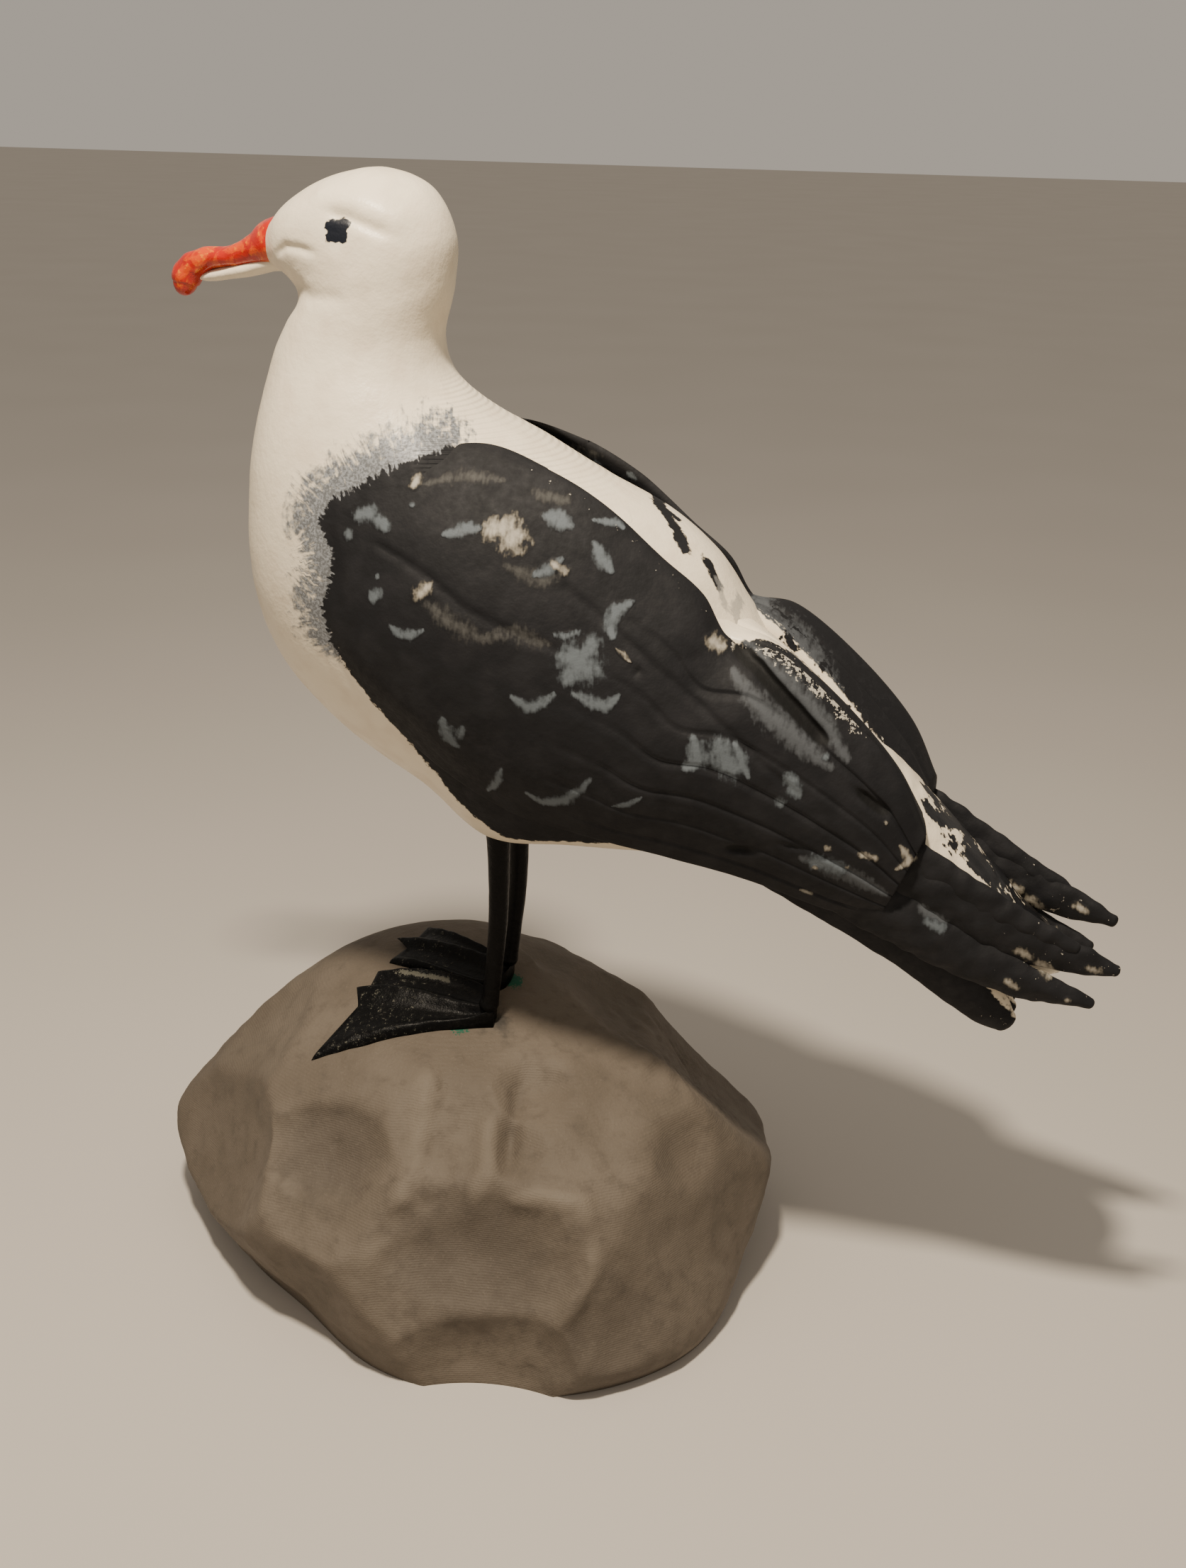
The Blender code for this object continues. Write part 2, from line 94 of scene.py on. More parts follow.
# Stations along a folded wing, from the shoulder back: upper edge (x, y, z), lower edge (x, y, z),
# the bulge between them, and a thickness as a share of the wing's.
WING_STATIONS = (
    ((-10.4, 9.6, 58.0), (-12.8, 11.4, 52.8), 0.6, 0.40),
    ((-4.2, 8.2, 62.2), (-12.0, 12.4, 46.6), 2.6, 0.75),
    ((2.8, 7.6, 63.8), (-9.4, 12.6, 41.2), 4.4, 1.00),
    ((9.4, 7.6, 62.1), (-4.6, 12.4, 36.0), 5.0, 1.08),
    ((15.6, 7.6, 58.9), (0.8, 12.0, 31.4), 5.2, 1.08),
    ((21.4, 7.6, 54.2), (7.4, 11.4, 27.8), 5.0, 1.08),
    ((25.4, 7.7, 51.0), (12.8, 10.9, 26.3), 4.6, 1.08),
    ((28.3, 7.9, 46.8), (17.4, 10.4, 25.3), 4.2, 1.08),
    ((33.2, 8.0, 46.0), (23.3, 9.8, 24.2), 3.4, 1.00),
    ((39.5, 8.0, 41.0), (31.4, 9.0, 22.4), 2.6, 0.92),
    ((45.2, 8.0, 35.2), (39.3, 8.4, 20.0), 1.8, 0.83),
    ((48.4, 7.9, 29.0), (44.2, 7.9, 19.2), 1.0, 0.67),
)

# Stations along the innermost feathers: inner edge (x, y, z) and outer edge (x, y, z).
TERTIAL_STATIONS = (
    ((22.0, 1.0, 50.0), (22.0, 6.8, 50.4)),
    ((27.4, 0.8, 47.4), (27.6, 7.6, 46.4)),
    ((32.5, 0.7, 43.8), (32.7, 8.0, 45.8)),
    ((39.0, 0.6, 37.8), (39.3, 8.0, 41.0)),
    ((44.5, 0.6, 31.8), (45.2, 8.0, 34.8)),
    ((47.2, 0.8, 28.4), (48.4, 7.9, 28.6)),
)

# Oval tubes: centre (x, y, z), half height, half thickness.
UPPER_PRIMARY = (
    ((36.0, 8.2, 32.8), 3.2, 1.2),
    ((45.0, 7.6, 25.8), 3.1, 1.2),
    ((52.0, 7.1, 21.6), 2.8, 1.1),
    ((58.5, 6.7, 18.6), 2.3, 1.0),
    ((64.0, 6.1, 17.0), 1.6, 0.8),
    ((67.8, 5.6, 16.0), 0.7, 0.5),
)
SHORT_PRIMARY = (
    ((40.0, 7.9, 30.6), 2.4, 0.9),
    ((48.0, 7.5, 25.6), 2.2, 0.9),
    ((55.0, 7.1, 21.9), 1.8, 0.8),
    ((60.6, 6.7, 19.4), 1.2, 0.7),
    ((63.6, 6.4, 18.3), 0.5, 0.5),
)
LOWER_PRIMARY = (
    ((36.0, 9.2, 25.4), 3.0, 1.2),
    ((45.0, 8.0, 20.6), 2.9, 1.2),
    ((52.0, 7.3, 17.0), 2.6, 1.1),
    ((58.0, 7.0, 14.6), 2.1, 1.0),
    ((62.5, 6.7, 13.3), 1.4, 0.8),
    ((65.8, 6.4, 12.4), 0.6, 0.5),
)
TAIL_COVERTS = (
    ((34.0, 0.0, 34.0), 6.0, 8.6),
    ((41.0, 0.0, 28.6), 6.0, 8.4),
    ((48.0, 0.0, 23.4), 4.6, 7.8),
    ((54.0, 0.0, 19.2), 3.2, 7.0),
    ((58.0, 0.0, 16.6), 1.8, 6.2),
)
TAIL_FEATHER = (
    ((34.0, 0.0, 22.6), 3.4, 1.6),
    ((42.0, 0.0, 18.6), 3.3, 1.6),
    ((48.0, 0.0, 15.2), 3.1, 1.5),
    ((53.0, 0.0, 11.7), 2.8, 1.4),
    ((56.4, 0.0, 9.0), 2.2, 1.2),
    ((58.0, 0.0, 7.8), 1.3, 0.8),
)
TAIL_SPREAD = (-3.9, -1.4, 1.4, 3.9)
BILL = (
    ((-18.6, 0.0, 80.9), 2.7, 2.7),
    ((-20.4, 0.0, 80.6), 2.35, 2.4),
    ((-22.6, 0.0, 79.9), 1.45, 1.7),
    ((-25.2, 0.0, 79.2), 1.02, 1.4),
    ((-27.4, 0.0, 78.9), 1.15, 1.35),
    ((-29.2, 0.0, 78.1), 1.45, 1.4),
    ((-30.1, 0.0, 77.0), 1.5, 1.4),
    ((-30.3, 0.0, 76.4), 1.25, 1.2),
)
LOWER_BILL = (
    ((-17.6, 0.0, 79.2), 1.3, 2.0),
    ((-20.4, 0.0, 78.8), 0.85, 1.6),
    ((-23.0, 0.0, 78.1), 0.75, 1.25),
    ((-25.6, 0.0, 77.6), 0.65, 0.95),
    ((-27.6, 0.0, 77.2), 0.50, 0.7),
    ((-28.6, 0.0, 77.1), 0.30, 0.4),
)
LEG_STATIONS = (
    ((3.6, 25.0), 1.45),
    ((3.8, 19.4), 1.14),
    ((3.7, 12.4), 1.00),
    ((3.2, 6.4), 0.90),
    ((2.8, 3.2), 0.93),
    ((2.6, 2.2), 1.05),
)
HEEL_X = 2.6
SCRAPE = ((-9.3, 0.2), (-3.4, 0.0))

# Toes of a foot, from the inner to the outer: degrees outwards from straight ahead,
# and a length as a share of the toe's.
FOOT_TOES = {
    "left": ((-17, 0.88), (-5, 0.92), (24, 1.11)),
    "right": ((-4, 0.80), (13, 0.86), (31, 0.82)),
}
WEB_SCALLOP = 0.15
INNER_WEB = 2.6

# Rock: height, centre (x, y), and the radius at azimuths 0, 30 ... 330 degrees.
ROCK_RINGS = (
    (0.00, (0.0, 0.0), (45.0, 46.0, 42.0, 38.0, 39.0, 43.0, 47.5, 40.5, 37.0, 42.8, 47.4, 49.6)),
    (0.07, (0.0, 0.0), (46.5, 47.5, 44.0, 40.0, 41.0, 45.0, 50.5, 42.5, 38.0, 43.8, 49.2, 51.0)),
    (0.19, (0.0, 0.0), (48.5, 49.0, 45.0, 41.0, 42.0, 46.5, 53.0, 45.6, 41.2, 45.0, 49.8, 50.6)),
    (0.41, (0.0, 0.0), (50.0, 49.5, 44.0, 41.0, 42.0, 47.5, 53.0, 48.5, 43.5, 43.0, 46.0, 48.5)),
    (0.63, (0.0, 0.0), (46.5, 44.0, 38.0, 36.0, 37.0, 41.0, 44.0, 41.5, 36.5, 34.0, 36.5, 42.0)),
    (0.82, (-3.0, 4.0), (33.0, 28.0, 27.0, 28.0, 29.0, 31.0, 32.0, 29.0, 25.0, 23.0, 24.5, 28.5)),
    (0.93, (-6.0, 8.0), (17.0, 13.5, 15.5, 18.0, 19.0, 20.0, 20.5, 17.5, 14.0, 12.0, 12.5, 15.0)),
)
ROCK_TOP = (-2.0, 15.0, 1.00)

# Cuts that flatten the rock: azimuth and elevation of the cut's normal in degrees,
# its distance from the rock's middle, and how much of what stands proud it takes away.
ROCK_CUTS = (
    (222, 26, 39.0, 0.7),
    (300, 30, 39.5, 0.7),
    (335, 24, 41.5, 0.7),
    (200, 40, 39.0, 0.6),
    (25, 42, 34.5, 0.7),
    (60, 20, 38.5, 0.7),
    (105, 25, 37.5, 0.7),
    (150, 20, 41.5, 0.7),
)
CUT_CENTRE_HEIGHT = 0.38
WORN_PASSES = 9
CREASE_GAIN = 1.15

# Hollows scooped out of the rock by a ball: the deepest place (x, y, z), azimuth and elevation
# of the way in, in degrees, the depth, and the ball's radius.
ROCK_HOLLOWS = (
    ((-13.3, -32.2, 28.4), (258, 43), 2.9, 52.0),
    ((12.5, -42.0, 18.1), (275, 34), 4.8, 75.0),
    ((14.8, -15.2, 36.5), (287, 66), 1.5, 11.0),
    ((12.8, -25.4, 32.6), (287, 58), 1.5, 11.0),
    ((4.2, -26.5, 32.6), (274, 59), 1.2, 40.0),
    ((-38.4, -20.9, 17.7), (222, 26), 2.2, 75.0),
    ((12.6, -44.2, 3.6), (286, 9), 4.2, 26.0),
    ((35.8, -35.8, 9.3), (306, 23), 1.8, 60.0),
    ((38.0, -13.6, 29.3), (332, 35), 1.5, 15.0),
    ((-34.3, -9.6, 33.9), (205, 51), 1.6, 95.0),
    ((22.0, 11.0, 39.0), (28, 62), 2.6, 55.0),
    ((36.8, 13.4, 26.1), (26, 44), 1.6, 95.0),
    ((28.8, 34.3, 8.7), (60, 15), 1.7, 80.0),
    ((18.3, 34.4, 23.2), (63, 23), 2.8, 120.0),
    ((-3.0, 34.3, 31.9), (96, 26), 1.0, 45.0),
    ((-15.6, 38.7, 15.9), (105, 5), 2.4, 90.0),
    ((-34.9, 20.1, 27.5), (148, 23), 2.6, 110.0),
    ((-49.5, 7.0, 11.6), (152, 14), 1.6, 60.0),
)

# Chips out of the rock: centre (x, y, z), radii and depth.
CHIPS = (
    ((-9.0, -27.5, 8.5), (6.0, 5.0, 5.0), 0.5),
    ((-10.5, -19.5, 19.0), (8.0, 5.0, 5.5), 0.9),
    ((8.0, -24.0, 13.5), (12.0, 6.0, 6.0), 0.8),
    ((0.5, -13.4, 25.4), (0.5, 0.5, 0.5), 0.4),
    ((-10.1, -18.9, 20.1), (0.5, 0.5, 0.5), 0.4),
    ((17.5, -26.0, 9.0), (4.0, 6.0, 7.0), 0.5),
    ((-20.5, -18.5, 16.5), (3.5, 4.0, 6.0), 0.5),
    ((1.5, -21.5, 20.5), (3.0, 5.0, 4.0), 0.35),
    ((26.0, -18.0, 12.0), (6.0, 8.0, 7.0), 0.4),
    ((31.0, -6.0, 9.0), (5.0, 7.0, 6.0), 0.5),
)

# Creases in the rock: half a width, depth (less than 0 for a ridge), and the way they run.
ROCK_CREASES = (
    (0.9, 0.75, ((8.5, -8.3, 26.0), (8.6, -12.1, 24.3), (8.8, -15.7, 22.6), (9.7, -20.1, 20.4))),
    (0.8, 0.35, ((11.9, -7.4, 26.0), (10.8, -9.2, 24.7), (10.0, -12.0, 24.0))),
    (2.0, 0.35, ((-19.6, -16.4, 18.7), (-14.8, -17.3, 21.8), (-9.2, -16.9, 22.9), (-3.6, -17.8, 23.0))),
    (1.3, -0.45, ((-2.0, -11.0, 26.7), (-1.0, -15.9, 23.6), (0.2, -20.6, 20.6), (-1.1, -24.8, 16.2))),
    (1.2, -0.40, ((5.9, -14.0, 24.5), (7.8, -20.0, 20.8), (6.3, -22.7, 17.1))),
    (1.7, -0.35, ((-4.1, -28.7, 11.3), (-3.1, -27.2, 13.1), (2.1, -24.2, 15.6), (9.2, -22.0, 18.1))),
    (1.0, -0.50, ((9.2, -22.0, 18.1), (13.6, -21.4, 19.4), (17.9, -20.8, 19.0), (19.8, -22.0, 16.7))),
    (1.0, -0.50, ((19.8, -22.0, 16.7), (20.0, -24.0, 12.9), (18.8, -26.3, 10.0), (15.3, -27.2, 6.3))),
    (0.8, -0.30, ((-12.8, -26.6, 12.9), (-9.1, -28.0, 12.0), (-5.5, -29.1, 11.4))),
)

# Where terraces show on the rock: a centre and a radius, and the shares between which they fade in.
TERRACES = ((((22.0, 4.0, 24.0), 17.0), 0.1, 0.5), (((8.0, 3.0, 30.0), 7.0), 0.2, 0.6))
TERRACE_HEIGHT = 0.95

# Where the rock's paint is green, darkened as painted shade, or stained: a strength, and a centre and a
# radius.
ROCK_TONES = {
    "green": ((0.8, ((-0.3, -5.4, 28.6), 2.0)), (0.8, ((3.5, 2.9, 30.6), 2.0))),
    "shade": (
        (1.0, ((7.0, -25.5, 13.0), 12.0)),
        (1.0, ((-10.5, -19.5, 19.0), 8.0)),
        (0.8, ((22.0, -24.0, 4.0), 12.0)),
    ),
    "stain": ((0.6, ((4.0, -4.0, 29.0), 3.0)),),
}

# Where the charcoal of a wing ends at the shoulder and along the breast, as (x, z), and then
# well outside the wing, so that its other edges are painted all over.
CHARCOAL_BORDER = (
    (60.0, 10.0), (19.0, 17.0), (7.5, 22.0), (1.0, 27.5), (-3.4, 34.6), (-7.9, 40.3),
    (-9.9, 43.4), (-10.8, 45.5), (-11.3, 48.2), (-10.3, 50.1), (-9.8, 52.3), (-10.4, 54.8),
    (-11.4, 56.4), (-9.8, 58.8), (-7.6, 59.8), (-5.1, 61.5), (-2.6, 62.4), (-0.3, 63.2),
    (2.4, 64.6), (6.0, 67.0), (20.0, 64.0), (60.0, 40.0),
)
BRUSHED_REACH = 6.0

# Depths inside the charcoal for pieces of one colour.
ALL_CHARCOAL = 3.0
ALL_WHITE = -4.0

# How the marks of the near wing lie on the far one, and how far a brush mark spreads.
FAR_SIDE_SHIFT = (1.3, -0.9)
MARK_SPREAD = 1.15

# Brush marks on a wing, by colour: half a width, and the (x, z) that the brush went through.
MARKS = {
    "slate": (
        (0.8, ((-6.9, 57.4), (-5.8, 57.7))),
        (0.7, ((-5.1, 57.1), (-4.3, 56.7))),
        (0.6, ((-8.0, 55.5),)),
        (0.3, ((-1.8, 58.7),)),
        (0.6, ((-5.1, 50.0), (-4.5, 50.5))),
        (0.3, ((-4.7, 52.0),)),
        (0.5, ((-3.2, 47.6), (-2.2, 47.0), (-0.9, 47.0), (0.3, 47.6))),
        (0.6, ((1.7, 56.4), (3.4, 56.9), (5.1, 57.1))),
        (0.8, ((10.6, 58.2), (11.8, 58.0), (13.1, 57.3))),
        (0.3, ((14.9, 57.8), (16.9, 57.5), (17.7, 56.9))),
        (0.6, ((15.4, 55.9), (16.4, 54.4), (17.3, 53.4))),
        (0.6, ((10.5, 53.2), (11.9, 53.8), (12.8, 54.6))),
        (0.7, ((19.4, 50.8), (18.2, 50.1), (17.7, 49.1), (18.1, 47.8))),
        (0.3, ((12.6, 48.0), (13.8, 47.9), (15.1, 48.3))),
        (1.7, ((14.6, 45.9), (16.0, 45.0))),
        (1.0, ((16.3, 47.1), (14.4, 44.1))),
        (0.6, ((9.1, 42.0), (10.7, 41.0), (12.0, 41.5), (13.1, 42.4))),
        (0.6, ((14.9, 42.6), (16.7, 41.8), (18.0, 41.4), (19.1, 42.5))),
        (0.8, ((2.0, 38.8), (2.4, 36.6), (3.3, 35.9))),
        (0.5, ((3.7, 37.2), (4.1, 37.9))),
        (0.5, ((7.7, 34.0), (6.9, 32.0), (5.5, 30.4))),
        (0.6, ((10.0, 31.4), (11.6, 30.4), (13.9, 31.1), (15.7, 32.7), (16.6, 33.9))),
        (0.3, ((18.6, 31.0), (20.2, 31.4), (21.6, 32.4))),
        (1.0, ((26.1, 38.6), (26.9, 36.8), (25.6, 35.7))),
        (1.4, ((28.8, 37.6), (29.8, 35.8))),
        (0.6, ((30.0, 38.3), (30.8, 36.6), (31.5, 35.0))),
        (0.8, ((35.3, 34.9), (36.0, 33.7))),
        (0.6, ((34.6, 32.6),)),
        (0.4, ((38.5, 37.0),)),
        (1.0, ((38.3, 26.4), (40.7, 25.8))),
        (0.6, ((49.5, 20.0), (50.9, 19.4))),
    ),
    "cream": (
        (0.6, ((-1.9, 60.4), (-1.7, 61.0))),
        (0.9, ((-0.3, 50.9), (0.5, 51.6))),
        (1.5, ((6.2, 57.0), (7.6, 57.3))),
        (2.0, ((8.1, 56.3),)),
        (0.6, ((12.1, 54.2), (13.2, 53.6))),
        (0.3, ((18.4, 46.8), (19.3, 46.2), (20.0, 45.5))),
        (0.8, ((26.7, 47.1), (27.6, 46.4))),
        (0.6, ((46.2, 28.4), (47.2, 26.8), (46.0, 26.0))),
        (0.3, ((44.6, 30.8),)),
        (0.5, ((42.6, 27.5), (44.0, 27.2))),
        (0.5, ((39.4, 28.0),)),
        (0.4, ((38.3, 25.7),)),
        (0.4, ((41.3, 26.0),)),
        (0.3, ((37.0, 22.6), (38.0, 22.3))),
        (0.8, ((58.4, 17.7), (59.4, 17.2))),
        (0.9, ((60.6, 16.3), (61.6, 15.6))),
        (0.6, ((65.2, 16.4), (66.2, 16.0))),
        (0.6, ((57.6, 14.4), (58.6, 13.8))),
        (0.5, ((63.6, 12.9),)),
    ),
    "dust": (
        (1.7, ((0.6, 50.2), (3.6, 48.4), (7.0, 47.2))),
        (1.5, ((6.6, 47.6), (9.2, 48.0), (12.4, 47.0))),
        (0.9, ((-1.0, 60.4), (2.6, 61.4), (6.4, 61.0))),
        (1.0, ((9.6, 60.0), (12.2, 59.4))),
        (1.2, ((7.8, 54.0), (11.4, 52.8), (13.6, 53.8))),
    ),
    "wash": (
        (1.0, ((29.7, 46.8), (34.5, 43.5), (38.4, 39.6), (40.4, 36.8))),
        (1.2, ((29.1, 44.5), (32.5, 41.4), (36.3, 38.0), (38.8, 36.2))),
        (1.0, ((36.9, 26.7), (41.7, 25.1), (45.2, 23.2))),
        (0.6, ((48.7, 21.4), (50.8, 20.1))),
    ),
}

# Grooves in a wing: half a width, depth, and the (x, z) that they run through. The first ones
# are painted dark inside, as painted shade.
DARK_GROOVES = 5
GROOVES = (
    (0.65, 0.95, ((28.5, 46.6), (31.4, 44.9), (33.1, 43.3), (35.4, 41.1), (38.6, 37.9))),
    (0.50, 0.75, ((41.3, 34.2), (43.2, 32.6), (45.0, 31.3))),
    (0.50, 0.70, ((29.0, 26.8), (30.9, 26.9), (32.7, 26.9))),
    (0.30, 0.35, ((34.8, 28.1), (37.8, 27.5))),
    (0.45, 0.70, ((20.2, 45.0), (21.0, 44.4))),
    (0.40, 0.22, ((-5.6, 55.1), (-2.3, 53.9), (0.6, 52.5), (4.2, 50.0), (9.0, 48.0), (14.3, 46.2))),
    (0.40, 0.20, ((12.4, 52.7), (15.8, 50.3), (19.2, 47.5), (23.4, 44.1), (30.0, 38.8), (37.0, 32.6))),
)

# Edges of the feathers across a wing, as shares from its upper rim to its lower one.
FEATHER_EDGES = (0.0, 0.17, 0.33, 0.48, 0.62, 0.75, 0.88, 1.0)

# Creases of the head: half a width, depth, and the (x, z) that they run through.
HEAD_CREASES = (
    (0.55, 0.34, ((-12.4, 84.3), (-9.9, 83.9), (-7.8, 83.1), (-5.6, 82.2))),
    (0.45, 0.30, ((-18.4, 79.8), (-16.8, 80.9), (-15.0, 80.8), (-13.0, 80.4))),
    (0.80, 0.20, ((-17.6, 77.6), (-14.0, 76.4), (-10.0, 76.6))),
)
BROW = ((-13.0, 85.6), (-9.0, 85.3), (-5.5, 83.8))
EYE_CENTRE = (-10.85, 82.55)
EYE_SIZE = (1.25, 1.1)

# Charcoal strokes and grey smears on the white of the back, and a charcoal stroke on the belly,
# as half a width and (x, y).
BACK_MARKS = (
    (0.75, ((16.8, 9.0), (19.2, 0.5), (20.2, -0.8), (21.4, -2.0), (22.5, -3.8))),
    (0.55, ((19.7, 0.6), (21.1, 0.1))),
    (0.65, ((24.8, -2.9), (25.9, -3.6))),
)
BACK_GREYS = (
    (1.0, ((28.0, -1.3), (27.9, -3.9), (28.7, -4.2))),
    (1.0, ((26.8, -4.3), (26.2, -3.4))),
)
BELLY_MARKS = ((0.75, ((1.8, -4.4), (3.2, -4.6))),)
BACK_HEIGHT = 45.0
BELLY_HEIGHT = 26.0
UNDER_WING = 8.0

# The white stripe along the innermost feathers, by side: places along the gull, and how far out
# it reaches there.
STRIPE = {-1: ((24, 30, 37, 41), (8.5, 7.5, 6.5, 0.8)), 1: ((24, 29, 37, 44), (2.8, 1.5, 1.3, 0.7))}

# How thick the cream specks are on the ridge of a wing near the shoulder and on its rim behind the
# notch, by side.
RIDGE_SPECKS = {-1: 0.70, 1: 0.50}
RIM_SPECKS = {-1: 1.05, 1: 0.55}

# The stage, in metres, watts and linear colours.
CAMERA_PLACE = (0.0535, -0.16203, 0.1252)
LENS_MM = 39.06
LAMP_PLACE = (0.005, -0.085, 0.260)
LAMP_TARGET = (0.005, 0.0, 0.050)
LAMP_SIZE = 0.022
LAMP_POWER = 0.83
LAMP_COLOUR = (1.0, 0.87, 0.70)
ROOM_COLOUR = (0.80, 0.72, 0.62)
ROOM_LIGHT = 0.54
FLOOR_REACH = 3.0


def smooth_step(value, low=0.0, high=1.0):
    share = np.clip((np.asarray(value, float) - low) / (high - low), 0, 1)
    return share * share * (3 - 2 * share)


def curve(a, b, c, d, t):
    """The places between b and c, at the shares t, of a smooth curve through all four."""
    cubic = 3 * b - a - 3 * c + d
    square = 2 * a - 5 * b + 4 * c - d
    return 0.5 * (2 * b + (c - a) * t + square * t**2 + cubic * t**3)


def spline(rows, steps):
    """Points along a smooth curve through the rows, with this many steps between two rows."""
    given = np.array(rows, float)
    ends = (2 * given[0] - given[1], 2 * given[-1] - given[-2])
    held = np.vstack([ends[0], given, ends[1]])
    t = (np.arange(steps) / steps)[:, None]
    spans = [curve(*four, t) for four in zip(held, held[1:], held[2:], held[3:])]
    return np.vstack([*spans, given[-1][None]])


def oval(count, power=2.0):
    """Up and side shares of a closed superellipse, starting at the top."""
    turn = np.arange(count) * 2 * math.pi / count
    up, side = np.cos(turn), np.sin(turn)
    return (
        np.sign(up) * np.abs(up) ** (2 / power),
        np.sign(side) * np.abs(side) ** (2 / power),
    )


def skin(rings):
    """Points and faces of a closed body through rings of equal count, capped at both ends."""
    rows, count = len(rings), len(rings[0])
    points = np.vstack([*rings, rings[0].mean(axis=0), rings[-1].mean(axis=0)])
    j = np.arange(count)
    k = (j + 1) % count
    start = (np.arange(rows - 1) * count)[:, None]
    sides = np.stack([start + j, start + k, start + count + k, start + count + j], axis=-1)
    faces = sides.reshape(-1, 4).tolist()
    first, last = rows * count, rows * count + 1
    faces += [(first, b, a) for a, b in zip(j.tolist(), k.tolist())]
    end = (rows - 1) * count
    faces += [(last, end + a, end + b) for a, b in zip(j.tolist(), k.tolist())]
    return points, faces


def end_steps(count):
    """Scale and push of the rings that round off an end, from the tip inwards."""
    for step in range(count):
        turn = math.pi / 2 * (step + 0.35) / count
        yield math.sin(turn), math.cos(turn)


def line_distance(points, line):
    """How far points are from a broken line, and how far along it the nearest place is."""
    line = np.array(line, float)
    if len(line) == 1:
        return np.linalg.norm(points - line[0], axis=1), np.zeros(len(points))
    best = np.full(len(points), np.inf)
    along = np.zeros(len(points))
    walked = 0.0
    for a, b in zip(line, line[1:]):
        reach = b - a
        length = np.linalg.norm(reach)
        share = np.clip((points - a) @ reach / length**2, 0, 1)
        away = np.linalg.norm(points - a - share[:, None] * reach, axis=1)
        nearer = away < best
        best[nearer] = away[nearer]
        along[nearer] = walked + share[nearer] * length
        walked += length
    return best, along


def inside(points, outline):
    """Which 2-D points are inside a closed outline."""
    outline = np.array(outline, float)
    found = np.zeros(len(points), bool)
    for a, b in zip(outline, np.roll(outline, -1, axis=0)):
        spans = (a[1] > points[:, 1]) != (b[1] > points[:, 1])
        with np.errstate(divide="ignore", invalid="ignore"):
            cross = a[0] + (points[:, 1] - a[1]) * (b[0] - a[0]) / (b[1] - a[1])
        found ^= spans & (points[:, 0] < cross)
    return found


def vertex_normals(points, faces):
    """Unit normals at the points of a mesh of triangles and quads."""
    normals = np.zeros_like(points)
    for size in (3, 4):
        chosen = np.array([f for f in faces if len(f) == size], int).reshape(-1, size)
        across = points[chosen[:, 2]] - points[chosen[:, 0]]
        other = points[chosen[:, -1]] - points[chosen[:, 1]]
        flat = np.cross(across, other)
        for corner in range(size):
            np.add.at(normals, chosen[:, corner], flat)
    length = np.linalg.norm(normals, axis=1)[:, None]
    return normals / np.maximum(length, 1e-12)


def ripple(points, size, seed=0.0):
    """Smooth noise from -1 to 1 at each point, with features of this size."""
    shift = Vector((seed, -seed, 2 * seed))
    return np.array([noise.noise(Vector(p) / size + shift) for p in points.tolist()])


def blob(points, centre, radius):
    """1 at the centre, falling to 0 at the radius."""
    return np.clip(1 - np.linalg.norm(points - np.array(centre), axis=1) / radius, 0, 1)


# Paint fields: numbers at each point that the materials turn into brushwork.


def charcoal_fields(points):
    """How deep inside the charcoal a point is, and its place along and away from the border."""
    flat = points[:, [0, 2]]
    closed = (*CHARCOAL_BORDER, CHARCOAL_BORDER[0])
    away, along = line_distance(flat, closed)
    depth = np.where(inside(flat, CHARCOAL_BORDER), away, -away)
    return depth, along


def mark_field(points, colour):
    """1 in the middle of the marks of a colour, 0 at their edges and less outside."""
    flat = points[:, [0, 2]].copy()
    flat[points[:, 1] > 0] += FAR_SIDE_SHIFT
    field = np.full(len(points), -1.0)
    for half_width, line in MARKS[colour]:
        away, along = line_distance(flat, line)
        thick = half_width * MARK_SPREAD
        if len(line) > 2:
            thick = thick * (0.45 + 0.75 * np.sin(math.pi * along / max(along.max(), 0.1)))
        field = np.maximum(field, 1 - away / thick)
    return field


def groove_field(points, grooves):
    """How deep the grooves are at each point, in millimetres."""
    flat = points[:, [0, 2]]
    depth = np.zeros(len(points))
    for half_width, deep, line in grooves:
        away, along = line_distance(flat, line)
        taper = smooth_step(np.minimum(along, along.max() - along), -0.6, 1.6)
        depth = np.maximum(depth, deep * taper * np.exp(-((away / half_width) ** 2)))
    return depth


def paint_fields(points, ink, **more):
    """The paint fields of a piece of the gull. Ink is a depth inside the charcoal."""
    nothing = np.zeros(len(points))
    depth, along = charcoal_fields(points)
    outside = np.clip(-depth / BRUSHED_REACH, 0, 1)
    front = smooth_step(points[:, 0], 4.0, -1.0) * smooth_step(points[:, 2], 40.0, 45.0)
    front = front * smooth_step(np.abs(points[:, 1]), 2.5, 6.0)
    return {
        **dict.fromkeys(("speck", "pock", "crevice", "grey", "layers"), nothing),
        **{colour: mark_field(points, colour) for colour in MARKS},
        "ink": nothing + ink,
        "eye": nothing - 1,
        "brush": (1 - outside) * front,
        "strokes": np.stack([along, depth, nothing], axis=1),
        **more,
    }


# Making of objects


def linked(name, data):
    """A new object in the scene."""
    made = bpy.data.objects.new(name, data)
    bpy.context.scene.collection.objects.link(made)
    return made


